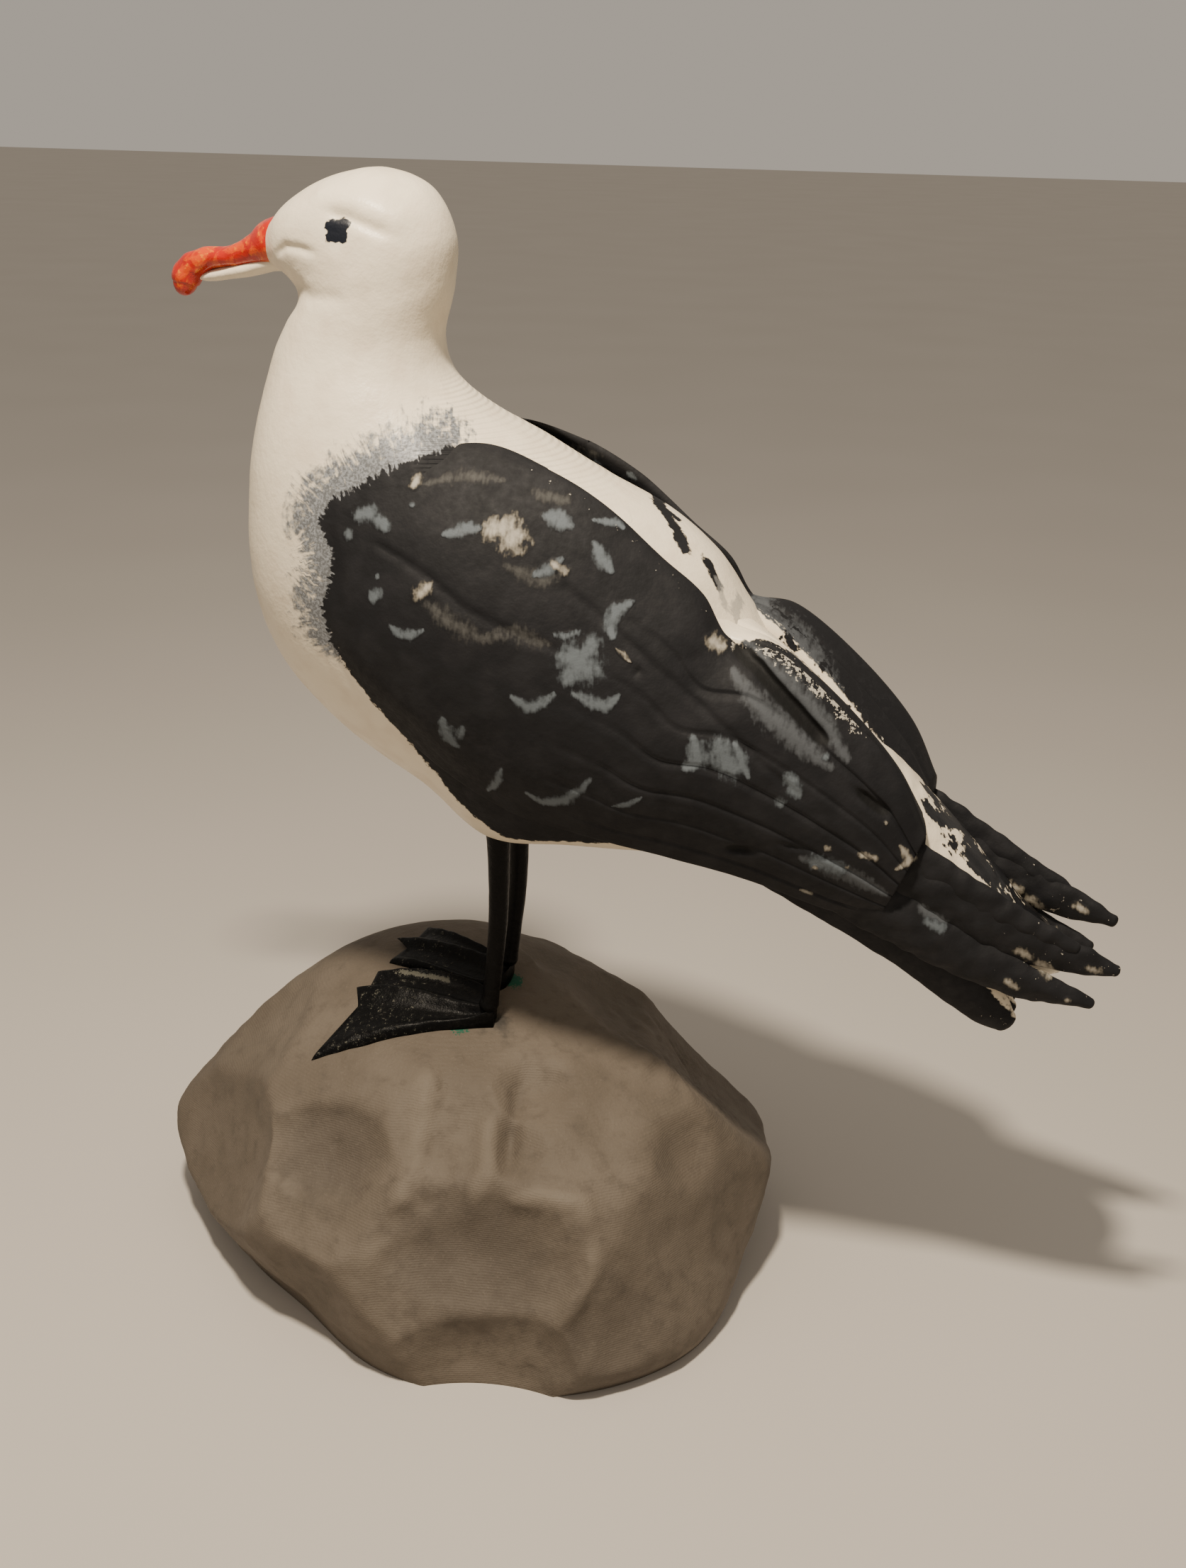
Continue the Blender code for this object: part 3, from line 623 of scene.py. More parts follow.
def new_piece(name, body, material, fields, replaced=None):
    """One smooth mesh object of the gull or the rock, from points in millimetres in the frame."""
    points, faces = body
    mesh = bpy.data.meshes.new(name)
    mesh.from_pydata((points * MM).tolist(), [], faces)
    mesh.validate()
    mesh.shade_smooth()
    for field, values in fields.items():
        kind = "FLOAT_VECTOR" if np.ndim(values) == 2 else "FLOAT"
        attribute = mesh.attributes.new(field, kind, "POINT")
        key = "vector" if kind == "FLOAT_VECTOR" else "value"
        attribute.data.foreach_set(key, np.asarray(values, np.float32).ravel())
    made = linked(name, mesh)
    made.data.materials.append(material)
    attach(made, "root")
    if replaced:
        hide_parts(replaced)


def outwards(body):
    """The same body with its faces turned outwards."""
    points, faces = body
    first = np.array([f[0] for f in faces])
    second = np.array([f[1] for f in faces])
    third = np.array([f[2] for f in faces])
    fourth = np.array([f[-1] for f in faces])
    volume = np.einsum("ij,ij->", points[first], np.cross(points[second], points[third]))
    volume += np.einsum("ij,ij->", points[first], np.cross(points[third], points[fourth]))
    return body if volume > 0 else (points, [f[::-1] for f in faces])


def gull_piece(name, body, material, fields, replaced=None):
    """A piece of the gull, from points that count from its soles."""
    points, faces = outwards(body)
    new_piece(name, (points + (0, 0, SOLES), faces), material, fields, replaced)


# Forms of the gull


def body_form(steps=15, around=210):
    """Head, neck, breast, belly and rump as one loft of oval sections."""
    power, rounding = 2.15, 10
    nose, rump = 1.2, 3.0
    rows = spline([(*back, *front, width) for back, front, width in BODY_STATIONS], steps)
    up, side = oval(around, power)

    def section(row, scale=1.0, push=0.0):
        back = np.array([row[0], 0, row[1]])
        front = np.array([row[2], 0, row[3]])
        half = (back - front) / 2
        along = np.array([half[2], 0, -half[0]]) / np.linalg.norm(half)
        middle = (back + front) / 2 + along * push
        widest = row[4] * BODY_WIDTH / 2
        return middle + np.outer(up * scale, half) + np.outer(side * scale * widest, [0, -1, 0])

    rings = [section(rows[0], scale, -nose * push) for scale, push in end_steps(rounding)]
    rings += [section(row) for row in rows]
    rings += [section(rows[-1], scale, rump * push) for scale, push in end_steps(rounding)][::-1]
    return outwards(skin(rings))


def carve_head(body):
    """Cuts the brow, gape and cheek into the head, and makes the whole skin a little uneven."""
    points, faces = body
    normals = vertex_normals(points, faces)
    flank = smooth_step(np.abs(points[:, 1]), 1.5, 4.0)
    depth = groove_field(points, HEAD_CREASES) * flank
    away = np.linalg.norm(points[:, [0, 2]] - EYE_CENTRE, axis=1)
    socket = 0.22 * np.exp(-((away / 2.2) ** 2)) * flank
    brow, _ = line_distance(points[:, [0, 2]], BROW)
    ridge = 0.20 * np.exp(-((brow / 1.1) ** 2)) * flank
    uneven = 0.07 * ripple(points, 5.0, 3.1) + 0.025 * ripple(points, 1.6, 8.7)
    return points + normals * (ridge - depth - socket + uneven)[:, None], faces


def tube(stations, per=12, around=40, flat=2.0, lumps=0.0, seed=0.0):
    """An oval tube through stations of (centre, half height, half thickness), with round ends."""
    rows = spline([(*centre, high, thick) for centre, high, thick in stations], per)
    path = rows[:, :3]
    ahead = np.gradient(path, axis=0)
    ahead /= np.linalg.norm(ahead, axis=1)[:, None]
    up_share, side_share = oval(around, flat)

    def section(i, scale=1.0, push=0.0):
        across = np.array([0.0, 1.0, 0.0])
        up = np.cross(ahead[i], across)
        up /= np.linalg.norm(up)
        across = np.cross(up, ahead[i])
        middle = path[i] + ahead[i] * push
        high, thick = rows[i, 3] * scale, rows[i, 4] * scale
        return middle + np.outer(up_share * high, up) + np.outer(side_share * thick, across)

    last = len(rows) - 1
    rings = [section(0, scale, -rows[0, 4] * push) for scale, push in end_steps(5)]
    rings += [section(i) for i in range(len(rows))]
    rings += [section(last, scale, rows[-1, 4] * push) for scale, push in end_steps(5)][::-1]
    points, faces = outwards(skin(rings))
    if lumps:
        normals = vertex_normals(points, faces)
        points = points + normals * (lumps * ripple(points, 1.5, seed))[:, None]
    return points, faces


def on_side(stations, side, shift=0.0):
    return [((c[0], side * c[1] + shift, c[2]), high, thick) for c, high, thick in stations]


def flank_finder(body):
    """A function that gives how far out the body's skin is at (x, z) on a side, or None."""
    tree = BVHTree.FromPolygons(body[0].tolist(), body[1])
    far_out = BODY_WIDTH * 2

    def flank(x, z, side):
        hit = tree.ray_cast(Vector((x, side * far_out, z)), Vector((0, -side, 0)))[0]
        return abs(hit.y) if hit else None

    return flank


def wing_form(side, flank, per=30, outer_count=130, inner_count=36):
    """A folded wing: a shell that grows out of the shoulder and stands proud at its other edges."""
    rows = spline([(*top, *low, bulge, thick) for top, low, bulge, thick in WING_STATIONS], per)
    count = len(rows)
    outer_share = (1 - np.cos(np.linspace(0, math.pi, outer_count))) / 2
    inner_share = np.linspace(1, 0, inner_count)[1:-1]
    rings, shares = [], []
    for i, row in enumerate(rows):
        along = i / (count - 1)
        top, low = row[:3], row[3:6]

        def plate(share, sense):
            chord = top + np.outer(share, low - top)
            edge = np.sqrt(np.clip(1 - (2 * share - 1) ** 4, 0, 1))
            half = edge * row[7] * WING_THICKNESS / 2
            chord[:, 1] += 4 * share * (1 - share) * row[6] + sense * half
            return chord

        outer = plate(outer_share, 1)
        grown = smooth_step(along, 0.03, 0.31)
        lower = 0.4 + 0.6 * smooth_step(1 - outer_share, 0.0, 0.16)
        held = 1 - smooth_step(along, 0.41, 0.65)
        keep = grown * (1 - held * (1 - lower))
        lift = np.interp(charcoal_fields(outer)[0], (-2.0, 1.5), (-0.3, 0.15))
        for j, (x, y, z) in enumerate(outer):
            skin_y = flank(x, z, side) if keep[j] < 1 else None
            if skin_y is not None:
                start = skin_y + lift[j]
                outer[j, 1] = start + (y - start) * keep[j]
        inner = plate(inner_share, -1)
        rings.append(np.vstack([outer, inner]))
        shares.append(np.stack([np.full(len(rings[0]), along), np.r_[outer_share, inner_share]], 1))
    shares = np.vstack([*shares, [(0, 0.5), (1, 0.5)]])
    is_outer = np.tile(np.r_[np.ones(outer_count), np.zeros(inner_count - 2)], count)
    is_outer = np.r_[is_outer, 0, 0]
    points, faces = skin(rings)
    points = points - np.array([0, 1, 0]) * relief(points, shares, is_outer)[:, None]
    points[:, 1] *= side
    return outwards((points, faces)), shares, is_outer


def relief(points, shares, is_outer):
    """How far the feathers and grooves of a wing lie below its even surface, in millimetres."""
    sunk = groove_field(points, GROOVES)
    long_feathers = smooth_step(shares[:, 0], 0.38, 0.65)
    for low, high in zip(FEATHER_EDGES, FEATHER_EDGES[1:]):
        share = (shares[:, 1] - low) / (high - low)
        within = (share >= 0) & (share <= 1)
        shingle = 0.30 * (1 - smooth_step(share, 0.0, 0.22)) + 0.10 * share
        sunk = sunk + np.where(within, shingle, 0) * long_feathers
    sunk = sunk + 0.10 * ripple(points, 4.5, 5.0) + 0.04 * ripple(points, 1.4, 1.0)
    return sunk * is_outer


def tertial_form(side, across=40):
    """The innermost feathers of a folded wing, a plate that leans towards the middle of the back."""
    rows = spline([(*inner, *outer) for inner, outer in TERTIAL_STATIONS], 20)
    share = np.linspace(0, 1, across)[:, None]
    edge = np.sqrt(np.clip(1 - (2 * share - 1) ** 6, 0, 1))
    flip = np.array([1.0, side, 1.0])
    rings = []
    for row in rows:
        inner, outer = row[:3] * flip, row[3:] * flip
        plate = inner + share * (outer - inner)
        crease = 0.35 * np.exp(-(((share - 0.52) / 0.05) ** 2))
        above, below = edge * [0, 0, TERTIAL_RISE], edge * [0, 0, TERTIAL_DEPTH]
        rings.append(np.vstack([plate + above - crease * [0, 0, 1], (plate - below)[::-1][1:-1]]))
    return outwards(skin(rings))


def leg_form(side, heel):
    """A round leg that stands under the belly, down to the top of its own foot."""
    knee = LEG_STATIONS[0][0][1]
    rows = []
    for (x, z), share in LEG_STATIONS:
        drop = heel * (1 - z / knee)
        radius = share * LEG_DIAMETER / 2
        rows.append(((x, side * LEG_SPACING / 2, z + drop), radius, radius))
    return tube(rows, per=14, around=36, lumps=0.03, seed=4.0)


def foot_form(side, toes, ground):
    """A webbed foot laid on the rock: three toes, with the web scalloped and sunk between them."""
    heel = np.array([HEEL_X, side * LEG_SPACING / 2])
    rings = []
    fan = np.linspace(-1, 1, 97)
    outwards_turn, share = (np.interp(fan, (-1, 0, 1), row) for row in zip(*toes))
    angle = math.pi - side * np.radians(outwards_turn)
    for reach in np.linspace(0.0, 1.0, 64):
        web = 1 - WEB_SCALLOP * np.abs(np.sin(fan * math.pi)) * reach**3
        length = TOE_LENGTH * share * (reach * 1.04 - 0.04) * web
        half_heel = fan * LEG_DIAMETER * 0.5 * (1 - reach)
        x = heel[0] + length * np.cos(angle)
        webbed = INNER_WEB * np.clip(-fan, 0, 1) * math.sin(math.pi * math.sqrt(reach))
        y = heel[1] + length * np.sin(angle) + side * (half_heel - webbed)
        floor = np.array([ground(a, b) for a, b in zip(x, y)]) - 0.05 - SOLES
        toe = (np.cos(fan * math.pi * 2) * 0.5 + 0.5) ** 2
        rim = np.sqrt(np.clip(1 - np.abs(fan) ** 14, 0.02, 1)) * (1 - 0.55 * reach**6)
        thick = FOOT_THICKNESS * (0.55 + 0.75 * toe) * rim + 0.10 * np.sin(reach * 40) * toe * 0.4
        thick = thick + 0.9 * np.exp(-((reach / 0.12) ** 2))
        top = np.stack([x, y, floor + thick], axis=1)
        sole = np.stack([x, y, floor], axis=1)
        rings.append(np.vstack([top, sole[::-1]]))
    return outwards(skin(rings))


# Form of the rock


def rock_ring(radii, around):
    """Radii at evenly spread azimuths, from the twelve given ones."""
    given = np.array(radii, float)
    held = np.concatenate([given[-1:], given, given[:2]])
    steps = np.arange(around) * len(given) / around
    at = steps.astype(int)
    return curve(*(held[at + i] for i in range(4)), steps - at)


def heading(azimuth, elevation):
    """The unit vector that points this way, from degrees."""
    az, el = math.radians(azimuth), math.radians(elevation)
    return np.array([math.cos(az) * math.cos(el), math.sin(az) * math.cos(el), math.sin(el)])


def carve(points):
    """Takes down what stands proud of each cut, then scoops the hollows. The underside stays flat."""

    def take(taken):
        taken[:, 2] *= np.clip(points[:, 2] / (0.15 * ROCK_HEIGHT), 0, 1)
        return points - taken

    middle = np.array([0, 0, CUT_CENTRE_HEIGHT * ROCK_HEIGHT])
    for azimuth, elevation, distance, share in ROCK_CUTS:
        normal = heading(azimuth, elevation)
        proud = (points - middle) @ normal - distance / 100 * ROCK_WIDTH
        points = take(np.outer(np.clip(proud, 0, None) * share, normal))
    for place, way, depth, ball in ROCK_HOLLOWS:
        centre = (np.array(place) + heading(*way) * (ball - depth)) / 100 * ROCK_WIDTH
        spread = points - centre
        away = np.linalg.norm(spread, axis=1)
        within = np.clip(ball / 100 * ROCK_WIDTH - away, 0, None)
        points = take(-spread * (within / away)[:, None])
    return points


def rock_form(around=400, per=19):
    """The boulder, scooped and chipped, with a slightly uneven skin and terraces on one shoulder."""
    azimuth = np.arange(around) * 2 * math.pi / around
    compass = np.stack([np.cos(azimuth), np.sin(azimuth)], axis=1)
    rings = []
    for height, centre, radii in ROCK_RINGS:
        radius = rock_ring(radii, around)[:, None] / 100 * ROCK_WIDTH
        flat = np.array(centre) / 100 * ROCK_WIDTH + radius * compass
        rings.append(np.hstack([flat, np.full((around, 1), height * ROCK_HEIGHT)]))
    top = np.array([ROCK_TOP[0], ROCK_TOP[1], 0]) / 100 * ROCK_WIDTH
    top[2] = ROCK_TOP[2] * ROCK_HEIGHT
    last = rings[-1]
    for inward, sink in ((0.62, 0.30), (0.25, 0.04)):
        rings.append(top + (last - top) * np.array([inward, inward, sink]))
    smooth = spline(np.array(rings).reshape(len(rings), -1), per)
    grid = np.array([carve(ring) for ring in smooth.reshape(-1, around, 3)])
    for _ in range(WORN_PASSES):
        beside = (np.roll(grid, 1, axis=1) + np.roll(grid, -1, axis=1)) / 2
        inner = (grid[:-2] + grid[2:]) / 2
        grid[1:-1] = grid[1:-1] * 0.5 + beside[1:-1] * 0.25 + inner * 0.25
    points, faces = outwards(skin(list(grid)))
    normals = vertex_normals(points, faces)
    above = smooth_step(points[:, 2], 0.0, 2.0)
    plateau = smooth_step(points[:, 2], 28.5, 26.5)
    chip = np.zeros(len(points))
    for centre, radii, depth in CHIPS:
        reach = np.linalg.norm((points - centre) / np.array(radii), axis=1)
        chip += depth * np.clip(1 - reach**2, 0, 1) ** 0.8
    for half_width, depth, line in ROCK_CREASES:
        away, along = line_distance(points, line)
        taper = smooth_step(np.minimum(along, along.max() - along), -0.5, 3.0)
        chip += CREASE_GAIN * depth * taper * np.exp(-((away / half_width) ** 2))
    broad, fine = ripple(points, 7.0, 2.0), ripple(points, 2.4, 6.0)
    uneven = 0.34 * broad + 0.15 * fine + 0.045 * ripple(points, 0.9, 9.0)
    fades = [smooth_step(blob(points, *where), low, high) for where, low, high in TERRACES]
    terraced = np.max(fades, axis=0)
    steps = np.sin((points[:, 2] + 1.2 * broad) * 2 * math.pi / TERRACE_HEIGHT)
    uneven = uneven + 0.11 * terraced * np.clip(steps * 1.6, -1, 1)
    calm = above * (0.35 + 0.65 * plateau)
    points = points + normals * (uneven * calm - chip * above)[:, None]
    points[:, 2] = np.maximum(points[:, 2], 0)
    return (points, faces), {"chip": chip}


def height_finder(body):
    """A function that gives the height of a body's upper surface at (x, y)."""
    tree = BVHTree.FromPolygons(body[0].tolist(), body[1])

    def ground(x, y):
        hit = tree.ray_cast(Vector((x, y, 100.0)), Vector((0, 0, -1)))[0]
        return hit.z if hit else 0.0

    return ground


# Materials


class Surface:
    """A Principled material with short ways to add the nodes that paint it."""

    def __init__(self, name, **sockets):
        self.material = bpy.data.materials.new(name)
        self.material.use_nodes = True
        self.tree = self.material.node_tree
        self.shader = self.tree.nodes["Principled BSDF"]
        for socket, value in sockets.items():
            self.shader.inputs[socket.replace("_", " ")].default_value = value

    def node(self, kind, inputs=None, **settings):
        made = self.tree.nodes.new(kind)
        for key, value in settings.items():
            setattr(made, key, value)
        for key, value in (inputs or {}).items():
            self.feed(made.inputs[key], value)
        return made

    def feed(self, socket, value):
        if isinstance(value, bpy.types.NodeSocket):
            self.tree.links.new(value, socket)
        else:
            socket.default_value = value

    def field(self, name, output="Fac"):
        return self.node("ShaderNodeAttribute", attribute_name=name).outputs[output]

    def place(self):
        return self.node("ShaderNodeTexCoord").outputs["Object"]

    def math(self, operation, a, b=0.0, c=0.0):
        return self.node("ShaderNodeMath", {0: a, 1: b, 2: c}, operation=operation).outputs[0]

    def times(self, a, b):
        return self.math("MULTIPLY", a, b)

    def times_plus(self, a, b, c):
        return self.math("MULTIPLY_ADD", a, b, c)

    def jitter(self, value, grain, amount):
        """A value made uneven by a noise of this strength."""
        return self.times_plus(self.math("SUBTRACT", grain, 0.5), amount, value)

    def grain(self, per_mm, detail=3.0, roughness=0.55, vector=None, distortion=0.0):
        """Noise with this many features in a millimetre, around 0.5."""
        if vector is None:
            vector, per_mm = self.place(), per_mm / MM
        inputs = {"Vector": vector, "Scale": per_mm, "Detail": detail, "Roughness": roughness}
        made = self.node("ShaderNodeTexNoise", {**inputs, "Distortion": distortion})
        return made.outputs["Fac"]

    def stretched(self, vector, scale):
        made = self.node("ShaderNodeVectorMath", {0: vector, 1: scale}, operation="MULTIPLY")
        return made.outputs[0]

    def step(self, value, low, high):
        """0 below low, 1 above high and smooth between."""
        inputs = {"Value": value, "From Min": low, "From Max": high}
        made = self.node("ShaderNodeMapRange", inputs, interpolation_type="SMOOTHSTEP")
        return made.outputs["Result"]

    def mix(self, share, a, b):
        made = self.node("ShaderNodeMix", data_type="RGBA")
        self.feed(made.inputs["Factor"], share)
        self.feed(made.inputs["A"], a if isinstance(a, bpy.types.NodeSocket) else (*a, 1))
        self.feed(made.inputs["B"], b if isinstance(b, bpy.types.NodeSocket) else (*b, 1))
        return made.outputs["Result"]

    def coat(self, under, over, mask, cover=1.0):
        """One colour over another, where the mask says and as thick as the cover says."""
        return self.mix(mask if cover == 1.0 else self.times(mask, cover), under, over)

    def blend(self, share, a, b):
        made = self.node("ShaderNodeMix", {"Factor": share}, data_type="FLOAT")
        self.feed(made.inputs["A"], a)
        self.feed(made.inputs["B"], b)
        return made.outputs["Result"]

    def finish(self, colour=None, roughness=None, height=None, height_mm=0.05):
        if colour is not None:
            self.feed(self.shader.inputs["Base Color"], colour)
        if roughness is not None:
            self.feed(self.shader.inputs["Roughness"], roughness)
        if height is not None:
            inputs = {"Height": height, "Distance": height_mm * MM, "Strength": 1.0}
            bump = self.node("ShaderNodeBump", inputs)
            self.feed(self.shader.inputs["Normal"], bump.outputs["Normal"])
        return self.material


WHITE = (0.86, 0.765, 0.595)
WHITE_WORN = (0.80, 0.70, 0.54)
CHARCOAL = (0.0040, 0.0042, 0.0058)
CHARCOAL_WORN = (0.0090, 0.0090, 0.0110)
# Painted shade inside the dark grooves of a wing.
CREVICE_SHADE = (0.002, 0.002, 0.002)
SMEAR = (0.24, 0.24, 0.235)
EYE = (0.006, 0.008, 0.014)
CREAM = (0.42, 0.39, 0.33)
BRUSHED_DARK = (0.060, 0.076, 0.100)
BRUSHED_LIGHT = (0.20, 0.225, 0.26)

# The dabs on the charcoal, from the lowest coat to the highest: how much of a mark stays bare,
# the colour where it is thick and where it is thin, and how much it covers.
DABS = {
    "wash": (0.05, (0.080, 0.088, 0.098), (0.024, 0.026, 0.029), 0.85),
    "dust": (0.42, (0.085, 0.084, 0.078), (0.020, 0.019, 0.018), 0.75),
    "slate": (0.02, (0.115, 0.135, 0.152), (0.030, 0.035, 0.040), 0.95),
    "cream": (0.25, CREAM, (0.10, 0.088, 0.066), 0.92),
}


def layer_lines(surface, spacing_mm=0.2):
    """Faint steps between printed layers, at even heights."""
    height = surface.node("ShaderNodeSeparateXYZ", {0: surface.place()}).outputs["Z"]
    turn = surface.times(height, 2 * math.pi / (spacing_mm * MM))
    return surface.math("SINE", turn)


def plumage_material():
    """White, charcoal, brushed slate edges, the slate and cream marks, and painted shade in the dark
    grooves, as the fields say.
    """
    surface = Surface("plumage", Specular_IOR_Level=0.35)
    field, step, times, times_plus = surface.field, surface.step, surface.times, surface.times_plus
    streak = surface.grain(1.0, 2.0, 0.6, surface.stretched(field("strokes", "Vector"), (2.3, 0.50, 0.0)))
    bristle = surface.grain(1.0, 1.0, 0.6, surface.stretched(surface.place(), (2600.0, 900.0, 900.0)))
    fine = surface.grain(1.3, 2.0, 0.6)
    coarse = surface.grain(0.35, 1.5)
    grit = surface.grain(4.0, 1.0, 0.6)
    brush = field("brush")

    ragged = surface.jitter(field("ink"), fine, 1.3)
    swept = times(surface.math("SUBTRACT", streak, 0.5), 2.2)
    charcoal_mask = step(times_plus(swept, brush, ragged), -0.12, 0.16)
    hairs = times_plus(brush, 0.58, times_plus(streak, 0.7, times(fine, 0.5)))
    brushed_mask = times(step(hairs, 0.78, 1.02), step(brush, 0.02, 0.22))

    white = surface.mix(step(coarse, 0.42, 0.72), WHITE, WHITE_WORN)
    brushed = surface.mix(step(grit, 0.38, 0.66), BRUSHED_DARK, BRUSHED_LIGHT)
    plain = surface.coat(white, brushed, brushed_mask, 0.90)
    dark = surface.mix(step(coarse, 0.40, 0.70), CHARCOAL, CHARCOAL_WORN)
    for name, (low, thick, thin, cover) in DABS.items():
        rough = surface.jitter(surface.jitter(field(name), bristle, 0.9), fine, 1.0)
        tone = surface.mix(step(rough, low + 0.1, low + 0.85), thin, thick)
        dark = surface.coat(dark, tone, step(rough, low, low + 0.35), cover)
    colour = surface.mix(charcoal_mask, plain, dark)

    flecks = times_plus(grit, 0.4, times_plus(field("speck"), 0.40, times(fine, 0.6)))
    colour = surface.coat(colour, CREAM, times(step(flecks, 0.90, 0.95), step(charcoal_mask, 0.4, 0.6)))
    pocks = times_plus(field("pock"), 0.30, surface.blend(0.35, coarse, fine))
    colour = surface.coat(colour, CHARCOAL, times(step(pocks, 0.70, 0.74), step(field("pock"), 0.05, 0.15)))
    # Painted shade: the insides of the dark grooves are painted darker.
    colour = surface.coat(colour, CREVICE_SHADE, step(field("crevice"), 0.18, 0.45))
    smears = step(surface.math("ADD", field("grey"), fine), 0.95, 1.25)
    colour = surface.coat(colour, SMEAR, smears, 0.6)
    colour = surface.coat(colour, EYE, step(surface.jitter(field("eye"), fine, 0.9), 0.0, 0.12))

    shine = surface.blend(charcoal_mask, times_plus(coarse, 0.22, 0.28), times_plus(fine, 0.25, 0.62))
    height = times_plus(step(field("slate"), -0.1, 0.4), 0.5, fine)
    height = times_plus(step(field("cream"), 0.0, 0.5), 0.8, height)
    height = times_plus(layer_lines(surface, 0.36), field("layers"), height)
    return surface.finish(colour, shine, height, 0.06)


def bill_material():
    """Glossy orange-red with yellow streaks."""
    surface = Surface("bill_orange", Coat_Weight=0.25, Coat_Roughness=0.08)
    red, orange, yellow = (0.43, 0.008, 0.0002), (0.60, 0.055, 0.0004), (0.74, 0.20, 0.001)
    patches = surface.grain(0.60, 3.0, 0.6, distortion=0.8)
    fine = surface.grain(2.2, 2.0)
    streaks = surface.times(surface.step(fine, 0.54, 0.70), surface.step(patches, 0.44, 0.56))
    colour = surface.mix(surface.step(patches, 0.46, 0.60), red, orange)
    colour = surface.coat(colour, yellow, streaks, 0.8)
    shine = surface.times_plus(fine, 0.2, 0.14)
    return surface.finish(colour, shine, surface.times_plus(fine, 0.4, patches), 0.12)


def leg_material():
    """Semi-gloss black with scuffs that show cream."""
    surface = Surface("leg_black", Specular_IOR_Level=0.12)
    fine = surface.grain(1.6, 3.0, 0.65)
    grit = surface.grain(5.0, 2.0, 0.7)
    scuffs = surface.times_plus(fine, 0.55, surface.times(grit, 0.45))
    scuffs = surface.times_plus(surface.field("scuff"), 0.11, scuffs)
    colour = surface.mix(surface.step(fine, 0.45, 0.75), (0.0018, 0.0018, 0.002), (0.0055, 0.0052, 0.005))
    colour = surface.coat(colour, (0.15, 0.145, 0.115), surface.step(scuffs, 0.68, 0.78), 0.8)
    shine = surface.times_plus(fine, 0.35, 0.22)
    return surface.finish(colour, shine, surface.times_plus(grit, 0.5, fine), 0.08)


def rock_material():
    """Matte taupe paint with small pits and specks of green, painted shade in its chips, creases and big
    hollows, and ridges painted lighter, partly as worn paint and partly as painted highlight.
    """
    surface = Surface("rock_taupe", Specular_IOR_Level=0.35)
    field, step, times, times_plus = surface.field, surface.step, surface.times, surface.times_plus
    broad = surface.grain(0.09, 1.0, 0.5)
    mid = surface.grain(0.55, 3.0, 0.6)
    grit = surface.grain(3.2, 1.0, 0.65)
    green = surface.math("ADD", field("green"), times(grit, 0.8))
    stain = surface.math("ADD", field("stain"), times(mid, 0.9))
    colour = surface.mix(step(broad, 0.40, 0.66), (0.112, 0.091, 0.069), (0.136, 0.112, 0.087))
    for tone, mask, cover in (
        ((0.090, 0.073, 0.056), step(mid, 0.46, 0.70), 0.45),
        # Painted shade: chips and creases painted darker, as deep as they are.
        ((0.070, 0.056, 0.043), step(field("chip"), 0.1, 1.2), 0.35),
        # Painted shade in the big hollows and on the low facets.
        ((0.074, 0.060, 0.047), step(surface.jitter(field("shade"), mid, 0.7), 0.05, 0.60), 0.50),
        # Ridges painted lighter: partly worn paint, partly painted highlight.
        ((0.190, 0.160, 0.126), step(field("chip"), -0.05, -0.4), 0.40),
        ((0.175, 0.147, 0.116), step(grit, 0.60, 0.74), 0.22),
        ((0.010, 0.085, 0.050), step(green, 0.72, 0.86), 1.0),
        ((0.035, 0.032, 0.028), step(stain, 0.55, 1.0), 0.8),
    ):
        colour = surface.coat(colour, tone, mask, cover)
    height = surface.math("ADD", times(mid, 0.8), times(grit, 0.45))
    height = times_plus(layer_lines(surface), 0.06, height)
    return surface.finish(colour, times_plus(mid, 0.2, 0.62), height, 0.12)


# The pieces


def stroke_field(points, strokes):
    """How far inside some strokes a point is, seen from above, in millimetres."""
    flat = points[:, :2]
    return np.max([width - line_distance(flat, line)[0] for width, line in strokes], axis=0)


def build_body(plumage):
    body = body_form()
    flank = flank_finder(body)
    carved = carve_head(body)
    points = carved[0]
    x, y, z = points.T
    depth, _ = charcoal_fields(points)
    ink = np.minimum(depth, np.abs(y) - UNDER_WING + np.interp(x, (-4, 0), (6, 0)))
    far_rim = np.minimum(y - 6.2, smooth_step(x, 0.0, 4.0) * 2 - 1)
    on_back = np.maximum(far_rim, stroke_field(points, BACK_MARKS))
    ink = np.maximum(ink, np.where(z > BACK_HEIGHT, on_back, -5))
    ink = np.maximum(ink, np.where(z < BELLY_HEIGHT, stroke_field(points, BELLY_MARKS), -5))
    reach = np.abs(points[:, [0, 2]] - EYE_CENTRE) / EYE_SIZE
    eye = np.where(np.abs(y) > 2, 1 - (reach**5).sum(axis=1) ** 0.2, -1)
    grey = np.maximum(np.where(z > BACK_HEIGHT, stroke_field(points, BACK_GREYS), 0), 0)
    rise = vertex_normals(*carved)[:, 2]
    layers = 0.6 * smooth_step(rise, 0.40, 0.60) * smooth_step(x, -3.0, 0.0) * smooth_step(x, 18.0, 10.0)
    fields = paint_fields(points, ink, eye=eye, grey=grey, layers=layers)
    gull_piece("gull_body", carved, plumage, fields, replaced="gull")
    return flank


